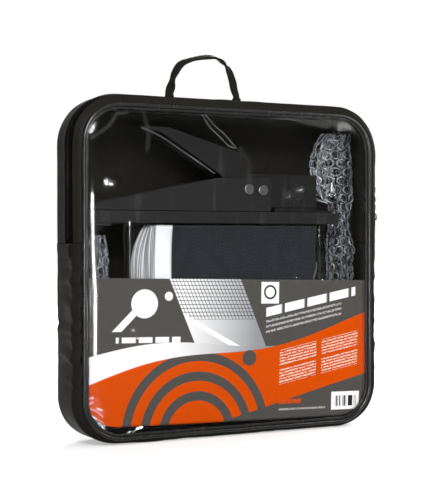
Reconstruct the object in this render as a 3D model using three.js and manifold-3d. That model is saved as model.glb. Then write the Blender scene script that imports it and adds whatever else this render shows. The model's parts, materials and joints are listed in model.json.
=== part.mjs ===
// A table tennis net set in its zipped carry case: two spring clip net clamps with their posts,
// a folded net and a card, seen through the clear front of a soft case with a carry handle.
// Millimetres, +Z up, +X to the right, +Y to the back, standing on the flat of its bottom gusset.
import * as THREE from 'three';
import { mergeVertices } from 'three/addons/utils/BufferGeometryUtils.js';
import Module from 'manifold-3d';

const wasm = await Module();
wasm.setup();

// ---------------------------------------------------------------- driving dimensions
const CASE_WIDTH = 262.5;       // between the side pipings' centres
const CASE_HEIGHT = 262;        // between the bottom and top pipings' centres
const CASE_DEPTH = 43;          // between the front and back pipings' centres
const CORNER_RADIUS = 31;
const GUSSET_BULGE = 9.2;       // how far the stuffed gusset stands outside the piping
const BASE_BULGE = 5.3;         // the same under the case, where its weight flattens it
const SEAM_ROUND = 6;           // depth over which the gusset turns from the seam to its flat
const GUSSET_WALL = 1.6;
const PIPING_RADIUS = 1.7;
const BORDER_WIDTH = 2;         // glossy seam border round the clear window
const ZIP_END_HEIGHT = 158;     // both zip ends, and the line where the upper front folds down
const ZIP_CENTRE_Y = -9;
const ZIP_WIDTH = 12.6;         // over both tapes
const TEETH_WIDTH = 1.6;        // one row
const GAP = 0.3;                // clearance between pieces that touch

const NET_HEIGHT = 152.5;       // also the post's distance from the table edge and its height
const CLAMP_WIDTH = 28;
const JAW_LENGTH = 68.7;
const JAW_OPENING = 25;         // degrees the lever turns when squeezed
const RAIL_HEIGHT = 9.8;
const SHEET = 1.5;              // steel sheet of the clamp
const PIN_RADIUS = 2.5;
const PIN_CLEARANCE = 0.35;
const POST_RADIUS = 6;
const SCREW_RADIUS = 2;         // the screw that holds the post's foot

// ---------------------------------------------------------------- derived places
const BASE_Z = BASE_BULGE;
const TOP_Z = BASE_Z + CASE_HEIGHT;
const HALF_WIDTH = CASE_WIDTH / 2;
const FRONT_Y = -CASE_DEPTH / 2;
const BACK_Y = CASE_DEPTH / 2;
const CENTRE_Z = (BASE_Z + TOP_Z) / 2;
const INSET = PIPING_RADIUS + GAP;
const UPPER_START_Z = ZIP_END_HEIGHT + GAP;

// ---------------------------------------------------------------- finishes
const finish = (color, roughness, metalness = 0, extra = {}) => () =>
  new THREE.MeshStandardMaterial({ color, roughness, metalness, ...extra });
const satinFabric = finish(0x17171a, 0.6);
const glossTrim = finish(0x1c1c1f, 0.3);
const clearFilm = finish(0xe8ecee, 0.1, 0, { transparent: true, opacity: 0.25 });
const blackPaint = finish(0x141416, 0.45, 0.2);
const blackPlastic = finish(0x1a1a1c, 0.5);
const rubber = finish(0x202022, 0.8);
const brightSteel = finish(0xc8c8ca, 0.25, 1);
const printedCard = finish(0x56534f, 0.6);
const netCord = finish(0x2a2c2f, 0.85);
const whiteTape = finish(0xdedfdf, 0.8);

// ---------------------------------------------------------------- mesh helpers
const CURVE_STEPS = 7;

/** A closed solid for joining and cutting, from a geometry and an optional placing matrix. */
function solid(geometry, matrix) {
  const bare = geometry.index ? geometry.toNonIndexed() : geometry.clone();
  for (const name of Object.keys(bare.attributes)) {
    if (name !== 'position') bare.deleteAttribute(name);
  }
  if (matrix) bare.applyMatrix4(matrix);
  const merged = mergeVertices(bare, 1e-4);
  return new wasm.Manifold(new wasm.Mesh({
    numProp: 3,
    vertProperties: new Float32Array(merged.attributes.position.array),
    triVerts: new Uint32Array(merged.index.array),
  }));
}

/** A geometry from a joined or cut solid. */
function geometryOf(manifold) {
  const mesh = manifold.getMesh();
  const geometry = new THREE.BufferGeometry();
  geometry.setAttribute('position', new THREE.BufferAttribute(mesh.vertProperties, 3));
  geometry.setIndex(new THREE.BufferAttribute(mesh.triVerts, 1));
  return geometry;
}

const move = (x, y, z) => new THREE.Matrix4().makeTranslation(x, y, z);

/** A box between two corners, as a geometry in place. */
function boxBetween(low, high) {
  const size = high.map((value, axis) => value - low[axis]);
  const centre = high.map((value, axis) => (value + low[axis]) / 2);
  return new THREE.BoxGeometry(...size).translate(...centre);
}

const shapeOf = (points) => new THREE.Shape(points.map(([x, z]) => new THREE.Vector2(x, z)));

/** A plate with its outline in X and Z, filling the depth from yFront to yBack. */
function plateXZ(shape, yFront, yBack) {
  const geometry = new THREE.ExtrudeGeometry(shape, {
    depth: yBack - yFront, bevelEnabled: false, curveSegments: CURVE_STEPS,
  });
  return geometry.rotateX(Math.PI / 2).translate(0, yBack, 0);
}

/** A cylinder along Y between two depths. */
function cylinderY(radius, x, z, yFront, yBack, sides = 20) {
  return new THREE.CylinderGeometry(radius, radius, yBack - yFront, sides)
    .translate(x, (yFront + yBack) / 2, z);
}

/** A turned piece about the vertical line at x, y, from [radius, z] pairs. */
function turned(profile, x = 0, y = 0, sides = 24) {
  const points = profile.map(([radius, z]) => new THREE.Vector2(radius, z));
  return new THREE.LatheGeometry(points, sides).rotateX(Math.PI / 2).translate(x, y, 0);
}

/** A closed surface through rings of points: rings join to each other, and the ends are capped or joined. */
function loft(rings, closed = false) {
  const count = rings[0].length;
  const positions = rings.flat().flatMap((point) => point);
  const index = [];
  const spans = closed ? rings.length : rings.length - 1;
  for (let ring = 0; ring < spans; ring += 1) {
    const next = (ring + 1) % rings.length;
    for (let side = 0; side < count; side += 1) {
      const after = (side + 1) % count;
      const [a, b] = [ring * count + side, ring * count + after];
      const [c, d] = [next * count + side, next * count + after];
      index.push(a, b, d, a, d, c);
    }
  }
  if (!closed) {
    const last = (rings.length - 1) * count;
    for (const [first, second, third] of capTriangles(rings[0])) index.push(first, third, second);
    for (const [first, second, third] of capTriangles(rings[rings.length - 1])) {
      index.push(last + first, last + second, last + third);
    }
  }
  const geometry = new THREE.BufferGeometry();
  geometry.setAttribute('position', new THREE.Float32BufferAttribute(positions, 3));
  geometry.setIndex(index);
  return outward(geometry);
}

/** Triangles over one flat ring of points, in the ring's own order. */
function capTriangles(ring) {
  const [origin, ...rest] = ring.map((point) => new THREE.Vector3(...point));
  const normal = new THREE.Vector3();
  for (let side = 0; side < rest.length - 1; side += 1) {
    const [u, v] = [rest[side].clone().sub(origin), rest[side + 1].clone().sub(origin)];
    normal.add(u.cross(v));
  }
  normal.normalize();
  const across = Math.abs(normal.x) < 0.9 ? new THREE.Vector3(1, 0, 0) : new THREE.Vector3(0, 1, 0);
  const u = across.clone().cross(normal).normalize();
  const v = normal.clone().cross(u);
  const flat = [origin, ...rest].map((point) => new THREE.Vector2(point.dot(u), point.dot(v)));
  return THREE.ShapeUtils.triangulateShape(flat, []);
}

/** Turns every face over if the closed surface came out inside out. */
function outward(geometry) {
  const { array } = geometry.attributes.position;
  const index = geometry.index.array;
  const corner = (i) => new THREE.Vector3().fromArray(array, 3 * index[i]);
  let volume = 0;
  for (let i = 0; i < index.length; i += 3) volume += corner(i).dot(corner(i + 1).cross(corner(i + 2)));
  if (volume < 0) {
    for (let i = 0; i < index.length; i += 3) [index[i], index[i + 1]] = [index[i + 1], index[i]];
  }
  return geometry;
}

/** A named piece with its own finish. */
function piece(name, geometry, material) {
  const mesh = new THREE.Mesh(geometry, material());
  mesh.name = name;
  return mesh;
}

function group(...children) {
  const made = new THREE.Group();
  made.add(...children.flat());
  return made;
}

// ---------------------------------------------------------------- case outline
/** Stations on the case outline from angle quadrant to quadrant: each has a place and an outward normal. */
function cornerStations(centreX, centreZ, fromAngle) {
  const stations = [];
  for (let step = 0; step <= CURVE_STEPS; step += 1) {
    const angle = fromAngle + (Math.PI / 2) * (step / CURVE_STEPS);
    const normal = [Math.cos(angle), Math.sin(angle)];
    stations.push({ x: centreX + CORNER_RADIUS * normal[0], z: centreZ + CORNER_RADIUS * normal[1], normal });
  }
  return stations;
}

const CORNER_X = HALF_WIDTH - CORNER_RADIUS;
const LOW_CORNER_Z = BASE_Z + CORNER_RADIUS;
const HIGH_CORNER_Z = TOP_Z - CORNER_RADIUS;

const lowerStations = [
  { x: -HALF_WIDTH, z: ZIP_END_HEIGHT, normal: [-1, 0] },
  ...cornerStations(-CORNER_X, LOW_CORNER_Z, Math.PI),
  ...cornerStations(CORNER_X, LOW_CORNER_Z, 1.5 * Math.PI),
  { x: HALF_WIDTH, z: ZIP_END_HEIGHT, normal: [1, 0] },
];
const upperStations = [
  { x: HALF_WIDTH, z: UPPER_START_Z, normal: [1, 0] },
  ...cornerStations(CORNER_X, HIGH_CORNER_Z, 0),
  ...cornerStations(-CORNER_X, HIGH_CORNER_Z, Math.PI / 2),
  { x: -HALF_WIDTH, z: UPPER_START_Z, normal: [-1, 0] },
];
const wholeStations = [...lowerStations.slice(1, -1), ...upperStations.slice(1, -1)];

/** How far the gusset stands outside the outline, by the outline's normal there. */
const bulgeAt = ([, up]) => GUSSET_BULGE - (GUSSET_BULGE - BASE_BULGE) * Math.max(0, -up) ** 2;

/** A band carried round stations. The section gives [how far outside, y] pairs for a local bulge. */
function band(stations, section, closed = false) {
  return loft(stations.map(({ x, z, normal }) =>
    section(bulgeAt(normal)).map(([out, y]) => [x + out * normal[0], y, z + out * normal[1]])), closed);
}

/** Points of a quarter round from the seam to the flat, side -1 at the front seam and 1 at the back. */
function seamQuarter(bulge, wall, side) {
  const middle = side * (CASE_DEPTH / 2 - SEAM_ROUND);
  const start = Math.asin((INSET + 0.1) / (bulge - wall));
  return [0, 0.3, 0.6, 1].map((share) => {
    const angle = start + share * (Math.PI / 2 - start);
    return [(bulge - wall) * Math.sin(angle), middle + side * (SEAM_ROUND - wall) * Math.cos(angle)];
  });
}

/** The gusset's section over its whole depth, or from a depth back to the seam, or its front round alone. */
const fullSection = (bulge) => [
  ...seamQuarter(bulge, 0, -1), ...seamQuarter(bulge, 0, 1).reverse(),
  ...seamQuarter(bulge, GUSSET_WALL, 1), ...seamQuarter(bulge, GUSSET_WALL, -1).reverse(),
];
const backSection = (fromY) => (bulge) => [
  [bulge, fromY], ...seamQuarter(bulge, 0, 1).reverse(),
  ...seamQuarter(bulge, GUSSET_WALL, 1), [bulge - GUSSET_WALL, fromY],
];
const frontSection = (bulge) => [
  ...seamQuarter(bulge, 0, -1), ...seamQuarter(bulge, GUSSET_WALL, -1).reverse(),
];

/** A rounded-rectangle panel outline drawn in by an inset, cut off below or above a height. */
function panelShape(inset, lowZ = -Infinity, highZ = Infinity) {
  const radius = CORNER_RADIUS - inset;
  const side = HALF_WIDTH - inset;
  const low = Math.max(BASE_Z + inset, lowZ);
  const high = Math.min(TOP_Z - inset, highZ);
  const shape = new THREE.Shape();
  if (lowZ > BASE_Z) {
    shape.moveTo(-side, low);
    shape.lineTo(side, low);
  } else {
    shape.absarc(-side + radius, low + radius, radius, Math.PI, 1.5 * Math.PI);
    shape.absarc(side - radius, low + radius, radius, 1.5 * Math.PI, 2 * Math.PI);
  }
  if (highZ < TOP_Z) {
    shape.lineTo(side, high);
    shape.lineTo(-side, high);
  } else {
    shape.absarc(side - radius, high - radius, radius, 0, Math.PI / 2);
    shape.absarc(-side + radius, high - radius, radius, Math.PI / 2, Math.PI);
  }
  shape.closePath();
  return shape;
}

const BORDER_FRONT = 0.9;        // the border's faces in front of and behind the front pipings' plane
const BORDER_BACK = 0.7;

/** The border strip round the window: a panel less the window's own outline, open at the fold line. */
function borderStrip(lowZ, highZ) {
  const past = 5;
  const outer = solid(plateXZ(panelShape(INSET, lowZ, highZ), FRONT_Y - BORDER_FRONT, FRONT_Y + BORDER_BACK));
  const opening = panelShape(INSET + BORDER_WIDTH, lowZ - past, highZ + past);
  return geometryOf(outer.subtract(solid(plateXZ(opening, FRONT_Y - past, FRONT_Y + past))));
}

function pipingSection(y) {
  const sides = 8;
  return () => Array.from({ length: sides }, (_, side) => {
    const angle = (2 * Math.PI * (side + 0.5)) / sides;
    return [PIPING_RADIUS * Math.cos(angle), y + PIPING_RADIUS * Math.sin(angle)];
  });
}

// ---------------------------------------------------------------- soft case
const WINDOW_INSET = INSET + BORDER_WIDTH + GAP;
const WINDOW_WALL = 0.8;
const WINDOW_FRONT_Y = FRONT_Y - 0.1;
const windowPlate = (lowZ, highZ) =>
  plateXZ(panelShape(WINDOW_INSET, lowZ, highZ), WINDOW_FRONT_Y, WINDOW_FRONT_Y + WINDOW_WALL);
const BACK_PANEL_WALL = 1.4;
const BACK_PANEL_FACE_Y = BACK_Y + 0.2;
const backPanelPlate = () =>
  plateXZ(panelShape(INSET), BACK_PANEL_FACE_Y - BACK_PANEL_WALL, BACK_PANEL_FACE_Y);

function lowerCase() {
  return [
    piece('back_panel', backPanelPlate(), satinFabric),
    piece('back_piping', band(wholeStations, pipingSection(BACK_Y), true), glossTrim),
    piece('lower_gusset', band(lowerStations, fullSection), satinFabric),
    piece('front_border_lower', borderStrip(-Infinity, ZIP_END_HEIGHT), glossTrim),
    piece('window_lower', windowPlate(-Infinity, ZIP_END_HEIGHT), clearFilm),
    piece('front_piping_lower', band(lowerStations, pipingSection(FRONT_Y)), glossTrim),
  ];
}

const TAPE_WALL = 0.9;
const TAPE_SUNK = 0.5;          // the tape's face below the gusset's
const TEETH_HEIGHT = 2.0;
const TEETH_SUNK = -0.2;        // the teeth stand a little proud of it
const HALF_GAP = GAP / 2;
const TAPE_WIDTH_EACH = (ZIP_WIDTH - 2 * TEETH_WIDTH - 2 * GAP) / 2;

/** A flat strip round the upper case: its depths and its place under the gusset's face. */
function strip(yFrom, yTo, sunk, height) {
  return band(upperStations, (bulge) => {
    const [face, under] = [bulge - sunk, bulge - sunk - height];
    return [[face, yFrom], [face, yTo], [under, yTo], [under, yFrom]];
  });
}

/** One half of the zip, to the back (side 1) or the front (side -1) of its middle: tape and teeth. */
function zipHalf(side, name) {
  const between = (...outs) => outs.map((out) => ZIP_CENTRE_Y + side * out).sort((a, b) => a - b);
  const teeth = between(HALF_GAP, TEETH_WIDTH);
  const tape = between(TEETH_WIDTH + GAP, TEETH_WIDTH + GAP + TAPE_WIDTH_EACH);
  return [
    piece(`zip_tape_${name}`, strip(...tape, TAPE_SUNK, TAPE_WALL), satinFabric),
    piece(`zip_teeth_${name}`, strip(...teeth, TEETH_SUNK, TEETH_HEIGHT), blackPlastic),
  ];
}

function upperCaseBack() {
  const gussetFrom = ZIP_CENTRE_Y + ZIP_WIDTH / 2 + GAP;
  return [
    piece('upper_gusset_back', band(upperStations, backSection(gussetFrom)), satinFabric),
    ...zipHalf(1, 'back'),
  ];
}

/** The upper front, which folds down on the line between the two zip ends. */
function upperFront() {
  return [
    piece('upper_gusset_front', band(upperStations, frontSection), satinFabric),
    ...zipHalf(-1, 'front'),
    piece('front_border_upper', borderStrip(UPPER_START_Z, Infinity), glossTrim),
    piece('window_upper', windowPlate(UPPER_START_Z, Infinity), clearFilm),
    piece('front_piping_upper', band(upperStations, pipingSection(FRONT_Y)), glossTrim),
  ];
}

/** A stitched tab over one zip end, on the gusset just under the fold line. */
const TAB_LENGTH = 10.7;
const TAB_WALL = 1;
const TAB_FACE_X = HALF_WIDTH + GUSSET_BULGE + GAP + TAB_WALL;
function zipEndTab(side) {
  const halfTab = ZIP_WIDTH / 2;
  const top = ZIP_END_HEIGHT - GAP;
  return new THREE.BoxGeometry(TAB_WALL, 2 * halfTab, TAB_LENGTH)
    .translate(side * (TAB_FACE_X - TAB_WALL / 2), ZIP_CENTRE_Y, top - TAB_LENGTH / 2);
}

// ---------------------------------------------------------------- zip sliders and pulls
const UPPER_SLIDER_Z = 204.2;
const LOWER_SLIDER_Z = 189.2;
const SLIDER_LENGTH = 11;
const SLIDER_WIDTH = 7.2;
const SLIDER_WALL = 1.2;
const BRIDGE_WIDTH = 2;
const BRIDGE_RISE = 3.9;
const BRIDGE_WALL = 1;
const EYE_HALF_LENGTH = 2.2;
const EYE_HALF_DEPTH = 1.3;
const WEDGE_WALL = 0.2;
const PULL_LENGTH = 10.3;       // between the wire's middles
const PULL_WIRE = 0.8;
const PULL_WIDTH = 7;
const TEETH_FACE_X = HALF_WIDTH + GUSSET_BULGE - TEETH_SUNK;
const SLIDER_FACE_X = TEETH_FACE_X + GAP + SLIDER_WALL;
const PULL_AXIS_X = SLIDER_FACE_X + BRIDGE_RISE - BRIDGE_WALL + GAP / 2 - EYE_HALF_DEPTH - 0.05;

/** A slider: plates over and under the teeth, a nose, the wedge between the rows and the pull's bridge. */
function sliderGeometry(centreZ, noseSide) {
  const half = SLIDER_LENGTH / 2;
  const halfWidth = SLIDER_WIDTH / 2;
  const under = TEETH_FACE_X - TEETH_HEIGHT - GAP;
  const [shoulder, noseWidth] = [half * 0.3, halfWidth * 0.45];
  const plate = shapeOf([
    [-halfWidth, -half], [halfWidth, -half], [halfWidth, shoulder], [noseWidth, half], [-noseWidth, half],
    [-halfWidth, shoulder],
  ].map(([across, along]) => [ZIP_CENTRE_Y + across, centreZ + noseSide * along]));
  // Drawn in Y and Z and given its wall along X.
  const standing = (x) => new THREE.Matrix4().set(0, 0, 1, x, 1, 0, 0, 0, 0, 1, 0, 0, 0, 0, 0, 1);
  const wall = new THREE.ExtrudeGeometry(plate, { depth: SLIDER_WALL, bevelEnabled: false });
  const [upper, lower] = [TEETH_FACE_X + GAP, under - SLIDER_WALL].map((x) => solid(wall, standing(x)));
  const block = (fromX, toX, width, length) => solid(boxBetween(
    [fromX, ZIP_CENTRE_Y - width / 2, centreZ - length / 2],
    [toX, ZIP_CENTRE_Y + width / 2, centreZ + length / 2],
  ));
  const [eyeFrom, eyeTo] = [PULL_AXIS_X - EYE_HALF_DEPTH, PULL_AXIS_X + EYE_HALF_DEPTH];
  const bridgeLength = 2 * (EYE_HALF_LENGTH + BRIDGE_WALL);
  const halfWall = SLIDER_WALL / 2;
  const wedge = block(under - halfWall, SLIDER_FACE_X - halfWall, WEDGE_WALL, SLIDER_LENGTH - 2);
  const bridge = block(SLIDER_FACE_X - GAP, SLIDER_FACE_X + BRIDGE_RISE, BRIDGE_WIDTH, bridgeLength);
  const eye = block(eyeFrom, eyeTo, 3 * BRIDGE_WIDTH, 2 * EYE_HALF_LENGTH);
  return geometryOf(upper.add(lower).add(wedge).add(bridge).subtract(eye));
}

/** A wire loop hanging from the slider's bridge: a drawn-out ring, a little narrower at the bridge. */
function pullGeometry(centreZ) {
  const steps = 20;
  const sides = 6;
  const halfLength = PULL_LENGTH / 2;
  const halfWidth = PULL_WIDTH / 2;
  const rings = [];
  for (let step = 0; step < steps; step += 1) {
    const turn = (2 * Math.PI * step) / steps;
    const across = halfWidth * Math.sin(turn) * (1 - 0.12 * Math.cos(turn));
    const centre = [PULL_AXIS_X, ZIP_CENTRE_Y + across, centreZ - halfLength * (1 - Math.cos(turn))];
    const normal = new THREE.Vector2(halfLength * Math.sin(turn), halfWidth * Math.cos(turn)).normalize();
    rings.push(Array.from({ length: sides }, (_, side) => {
      const angle = (2 * Math.PI * side) / sides;
      const [out, over] = [PULL_WIRE * Math.cos(angle), PULL_WIRE * Math.sin(angle)];
      return [centre[0] + over, centre[1] + out * normal.x, centre[2] + out * normal.y];
    }));
  }
  return loft(rings, true);
}

// ---------------------------------------------------------------- carry handle
const HANDLE_Y = 6;
const GUSSET_TOP_Z = TOP_Z + GUSSET_BULGE;
const FOOT_WALL = 1;
const HEM_RADIUS = 1.3;         // the stitched hem on each foot, round which the strap folds down
const HANDLE_AXIS_Z = GUSSET_TOP_Z + 3.3;
const STRAP_WIDTH = 8;
const STRAP_WALL = 1.8;
// The strap's middle line as [x, z over the fold line, turn of its flat from the case front in degrees].
const STRAP_ROUTE = [
  [-46.6, 3.4, 12], [-45.5, 6.4, 30], [-44, 13, 84], [-41.5, 19, 62], [-36.2, 26.5, 58],
  [-27, 30.8, 66], [-12, 34, 62], [-4, 34, 66], [2.9, 30.3, 84], [7.8, 24.8, 48],
  [11.6, 15.8, 62], [13.4, 8, 60], [15.6, 3.4, 12],
];
const HANDLE_FEET_X = [STRAP_ROUTE[0][0], STRAP_ROUTE[STRAP_ROUTE.length - 1][0]];

/** The folded strap, which twists as it goes up from the left foot, over and down to the right foot. */
function handleGeometry() {
  const route = new THREE.CatmullRomCurve3(STRAP_ROUTE.map(([x, up, turn]) => new THREE.Vector3(x, up, turn)),
    false, 'centripetal');
  const steps = 36;
  const rings = [];
  for (let step = 0; step <= steps; step += 1) {
    const here = route.getPoint(step / steps);
    const tangent = route.getTangent(step / steps);
    const along = new THREE.Vector2(tangent.x, tangent.y).normalize();
    const turn = THREE.MathUtils.degToRad(here.z);
    rings.push([[-1, -1], [1, -1], [1, 1], [-1, 1]].map(([a, b]) => {
      const [flat, wall] = [(a * STRAP_WIDTH) / 2, (b * STRAP_WALL) / 2];
      const inPlane = flat * Math.cos(turn) - wall * Math.sin(turn);
      const inDepth = flat * Math.sin(turn) + wall * Math.cos(turn);
      return [here.x - inPlane * along.y, HANDLE_Y + inDepth, HANDLE_AXIS_Z + here.y + inPlane * along.x];
    }));
  }
  return loft(rings);
}

/** One sewn foot: a flat patch on the gusset with an upright hem on it. */
function handleFoot(x) {
  const [halfLength, halfWidth, halfHem] = [9, 5.5, STRAP_WIDTH / 2];
  const [low, top] = [GUSSET_TOP_Z + GAP, GUSSET_TOP_Z + GAP + FOOT_WALL];
  const block = (halfX, halfY, highZ) =>
    solid(boxBetween([x - halfX, HANDLE_Y - halfY, low], [x + halfX, HANDLE_Y + halfY, highZ]));
  const hem = new THREE.CylinderGeometry(HEM_RADIUS, HEM_RADIUS, 2 * halfHem, 12)
    .rotateZ(Math.PI / 2).translate(x, HANDLE_Y, HANDLE_AXIS_Z);
  const [patch, upright] = [block(halfLength, halfWidth, top), block(halfHem, 0.5, HANDLE_AXIS_Z)];
  return geometryOf(patch.add(upright).add(solid(hem)));
}

// ---------------------------------------------------------------- card and net
const CARD_TILT = THREE.MathUtils.degToRad(1.25);
const CARD_FRONT_Y = FRONT_Y + 2.2;
const CARD_WALL = 0.6;
/** The card: square top corners, bottom corners cut round to the case. */
function cardGeometry() {
  const [half, low, high, radius] = [129, 11, 128.7, 27];
  const shape = new THREE.Shape();
  shape.moveTo(half, high);
  shape.lineTo(-half, high);
  shape.absarc(-half + radius, low + radius, radius, Math.PI, 1.5 * Math.PI);
  shape.absarc(half - radius, low + radius, radius, 1.5 * Math.PI, 2 * Math.PI);
  shape.closePath();
  const middleZ = (low + high) / 2;
  return plateXZ(shape, CARD_FRONT_Y, CARD_FRONT_Y + CARD_WALL)
    .translate(0, 0, -middleZ).rotateY(CARD_TILT).translate(0.5, 0, middleZ);
}

const NET_LAYERS = 14;
const NET_PITCH = 0.62;
const NET_WALL = 0.34;
const NET_FRONT_Y = CARD_FRONT_Y + CARD_WALL + 1.1;
const NET_TOP_Z = 173;
const NET_FOLD_LENGTH = 130.7;  // fourteen of them make the net's 1830
const TAPE_WIDTH = 15.5;
const NET_RIGHT_X = 83;
const NET_LEFT_X = NET_RIGHT_X - NET_HEIGHT;
const FAN_SHIFT = 21;           // how far the deepest layer lies to the left of the front one

/** The folded strip's outline in depth (first) and height (second): runs up and down with round folds. */
function foldedStrip(wall) {
  const outer = [];
  const inner = [];
  const low = NET_TOP_Z - NET_FOLD_LENGTH;
  for (let layer = 0; layer < NET_LAYERS; layer += 1) {
    const depth = NET_FRONT_Y + wall / 2 + layer * NET_PITCH;
    const down = layer % 2 === 1;
    const [start, end] = down ? [NET_TOP_Z - 1, low + 1] : [low + 1, NET_TOP_Z - 1];
    const side = down ? 1 : -1;
    outer.push([depth + side * wall / 2, start], [depth + side * wall / 2, end]);
    inner.push([depth - side * wall / 2, start], [depth - side * wall / 2, end]);
    if (layer === NET_LAYERS - 1) continue;
    const middle = depth + NET_PITCH / 2;
    const bend = down ? -1 : 1;
    for (const [list, away] of [[outer, -side], [inner, side]]) {
      const reach = (NET_PITCH + away * wall) / 2;
      for (const angle of [0.75, 0.5, 0.25].map((share) => share * Math.PI)) {
        list.push([middle + reach * Math.cos(angle), end + bend * reach * Math.sin(angle)]);
      }
    }
  }
  return [...outer, ...inner.reverse()];
}

/** A folded strip between two X places, sheared so that deeper layers lie further to the left. */
function foldedGeometry(wall, fromX, toX) {
  const outline = foldedStrip(wall);
  const shift = (y) => -FAN_SHIFT * (y - NET_FRONT_Y) / (NET_LAYERS * NET_PITCH);
  return loft([fromX, toX].map((x) => outline.map(([y, z]) => [x + shift(y), y, z])));
}

const MESH_PITCH = 9.5;
const MESH_OPENING = 7.6;
/** The net with square openings through its front layer. */
function netGeometry() {
  const folded = solid(foldedGeometry(NET_WALL, NET_LEFT_X + TAPE_WIDTH + GAP, NET_RIGHT_X));
  const columns = 14;
  const rows = 9;
  const firstX = NET_LEFT_X + TAPE_WIDTH + 4;
  const openings = [];
  for (let column = 0; column < columns; column += 1) {
    for (let row = 0; row < rows; row += 1) {
      const x = firstX + column * MESH_PITCH;
      const z = NET_TOP_Z - 12 - row * MESH_PITCH;
      const far = [x + MESH_OPENING, NET_FRONT_Y + NET_WALL + 0.1, z];
      openings.push(solid(boxBetween([x, NET_FRONT_Y - 1, z - MESH_OPENING], far)));
    }
  }
  return geometryOf(folded.subtract(wasm.Manifold.union(openings)));
}

const POUCH_WALL = 0.35;
/** A thin clear bag round the folded net, open at the top. */
function pouchGeometry() {
  const front = NET_FRONT_Y - GAP - POUCH_WALL;
  const back = NET_FRONT_Y + NET_LAYERS * NET_PITCH + GAP / 2 + POUCH_WALL;
  const [left, right] = [NET_LEFT_X - FAN_SHIFT - 3, NET_RIGHT_X + 6];
  const [low, top] = [NET_TOP_Z - NET_FOLD_LENGTH - 2, NET_TOP_Z + 0.8];
  const outer = solid(boxBetween([left, front, low], [right, back, top]));
  const inner = solid(boxBetween([left + POUCH_WALL, front + POUCH_WALL, low + POUCH_WALL],
    [right - POUCH_WALL, back - POUCH_WALL, top + 5]));
  return geometryOf(outer.subtract(inner));
}

// ---------------------------------------------------------------- net clamp, upright, table edge at x = 0
// The table top is z = 0: the rail lies on it and the lever's jaw presses from below. The post stands at
// x = NET_HEIGHT, which is also the net's distance outside the table's edge.
const RAIL_END_X = NET_HEIGHT + 13.5;
const HALF_CLAMP = CLAMP_WIDTH / 2;
const PIVOT = [17.9, -18.7];
const STOP_PIN = [4.7, -18.1];
const CHEEK_OUT = HALF_CLAMP - 1.6;      // outer face of the bracket's cheeks
const LEVER_OUT = CHEEK_OUT - SHEET - GAP;
const PAD_WALL = 1.5;
const JAW_FACE_Z = -(GAP + PAD_WALL + GAP + PAD_WALL + GAP);

const POST_FOOT_Z = SHEET + GAP;
const SCREW_TOP_Z = POST_FOOT_Z + 4.4;
const SCREW_HOLE = SCREW_RADIUS + GAP;
const postScrewProfile = (radius, low, top) => [[0, low], [radius, low], [radius, top], [0, top]];
/** The hole for the post's screw: up through the bracket's web and the rail into the post's base. */
const screwHole = () => solid(turned(postScrewProfile(SCREW_HOLE, -9, SCREW_TOP_Z + GAP), NET_HEIGHT, 0, 16));

/** The screw under the bracket's web that holds the post's base down on the rail. */
function postScrewGeometry() {
  const headTop = -GAP - SHEET - GAP;
  const [shoulder, crown] = [headTop - 1, headTop - 2.4];
  const shank = turned(postScrewProfile(SCREW_RADIUS, shoulder, SCREW_TOP_Z), NET_HEIGHT, 0, 16);
  const headProfile = [[0, crown], [2.8, crown], [4, shoulder], [4, headTop], [0, headTop]];
  const head = turned(headProfile, NET_HEIGHT, 0, 16);
  return geometryOf(solid(shank).add(solid(head)));
}

function railGeometry() {
  const outer = solid(boxBetween([-JAW_LENGTH, -HALF_CLAMP, 0], [RAIL_END_X, HALF_CLAMP, RAIL_HEIGHT]));
  const channel = solid(boxBetween([-JAW_LENGTH - 1, -HALF_CLAMP + SHEET, SHEET],
    [RAIL_END_X + 1, HALF_CLAMP - SHEET, RAIL_HEIGHT + 1]));
  return geometryOf(outer.subtract(channel).subtract(screwHole()));
}

const pinHole = ([x, z]) => solid(cylinderY(PIN_RADIUS + PIN_CLEARANCE, x, z, -CLAMP_WIDTH, CLAMP_WIDTH, 16));

/** The bracket under the rail: two trapezoid cheeks hanging from a web. */
function bracketGeometry() {
  const outline = shapeOf([[-3, -GAP], [-3, -28.4], [46.7, -27.6], [158.5, -4.6], [158.5, -GAP]]);
  const whole = solid(plateXZ(outline, -CHEEK_OUT, CHEEK_OUT));
  const within = CHEEK_OUT - SHEET;
  const hollow = solid(boxBetween([-10, -within, -40], [RAIL_END_X, within, -GAP - SHEET]));
  const [pivotHole, stopHole] = [PIVOT, STOP_PIN].map(pinHole);
  return geometryOf(whole.subtract(hollow).subtract(pivotHole).subtract(stopHole).subtract(screwHole()));
}

/** The slot that clears the stop pin as the lever turns: part of a ring about the pivot. */
function stopSlot() {
  const stop = new THREE.Vector2(...STOP_PIN).sub(new THREE.Vector2(...PIVOT));
  const halfSlot = PIN_RADIUS + 2 * GAP;
  const pinAngle = THREE.MathUtils.degToRad(13);
  const to = stop.angle() + pinAngle;
  const from = stop.angle() - THREE.MathUtils.degToRad(JAW_OPENING + 1) - pinAngle;
  const shape = new THREE.Shape();
  shape.absarc(...PIVOT, stop.length() + halfSlot, from, to, false);
  shape.absarc(...PIVOT, stop.length() - halfSlot, to, from, true);
  shape.closePath();
  return shape;
}

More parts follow.
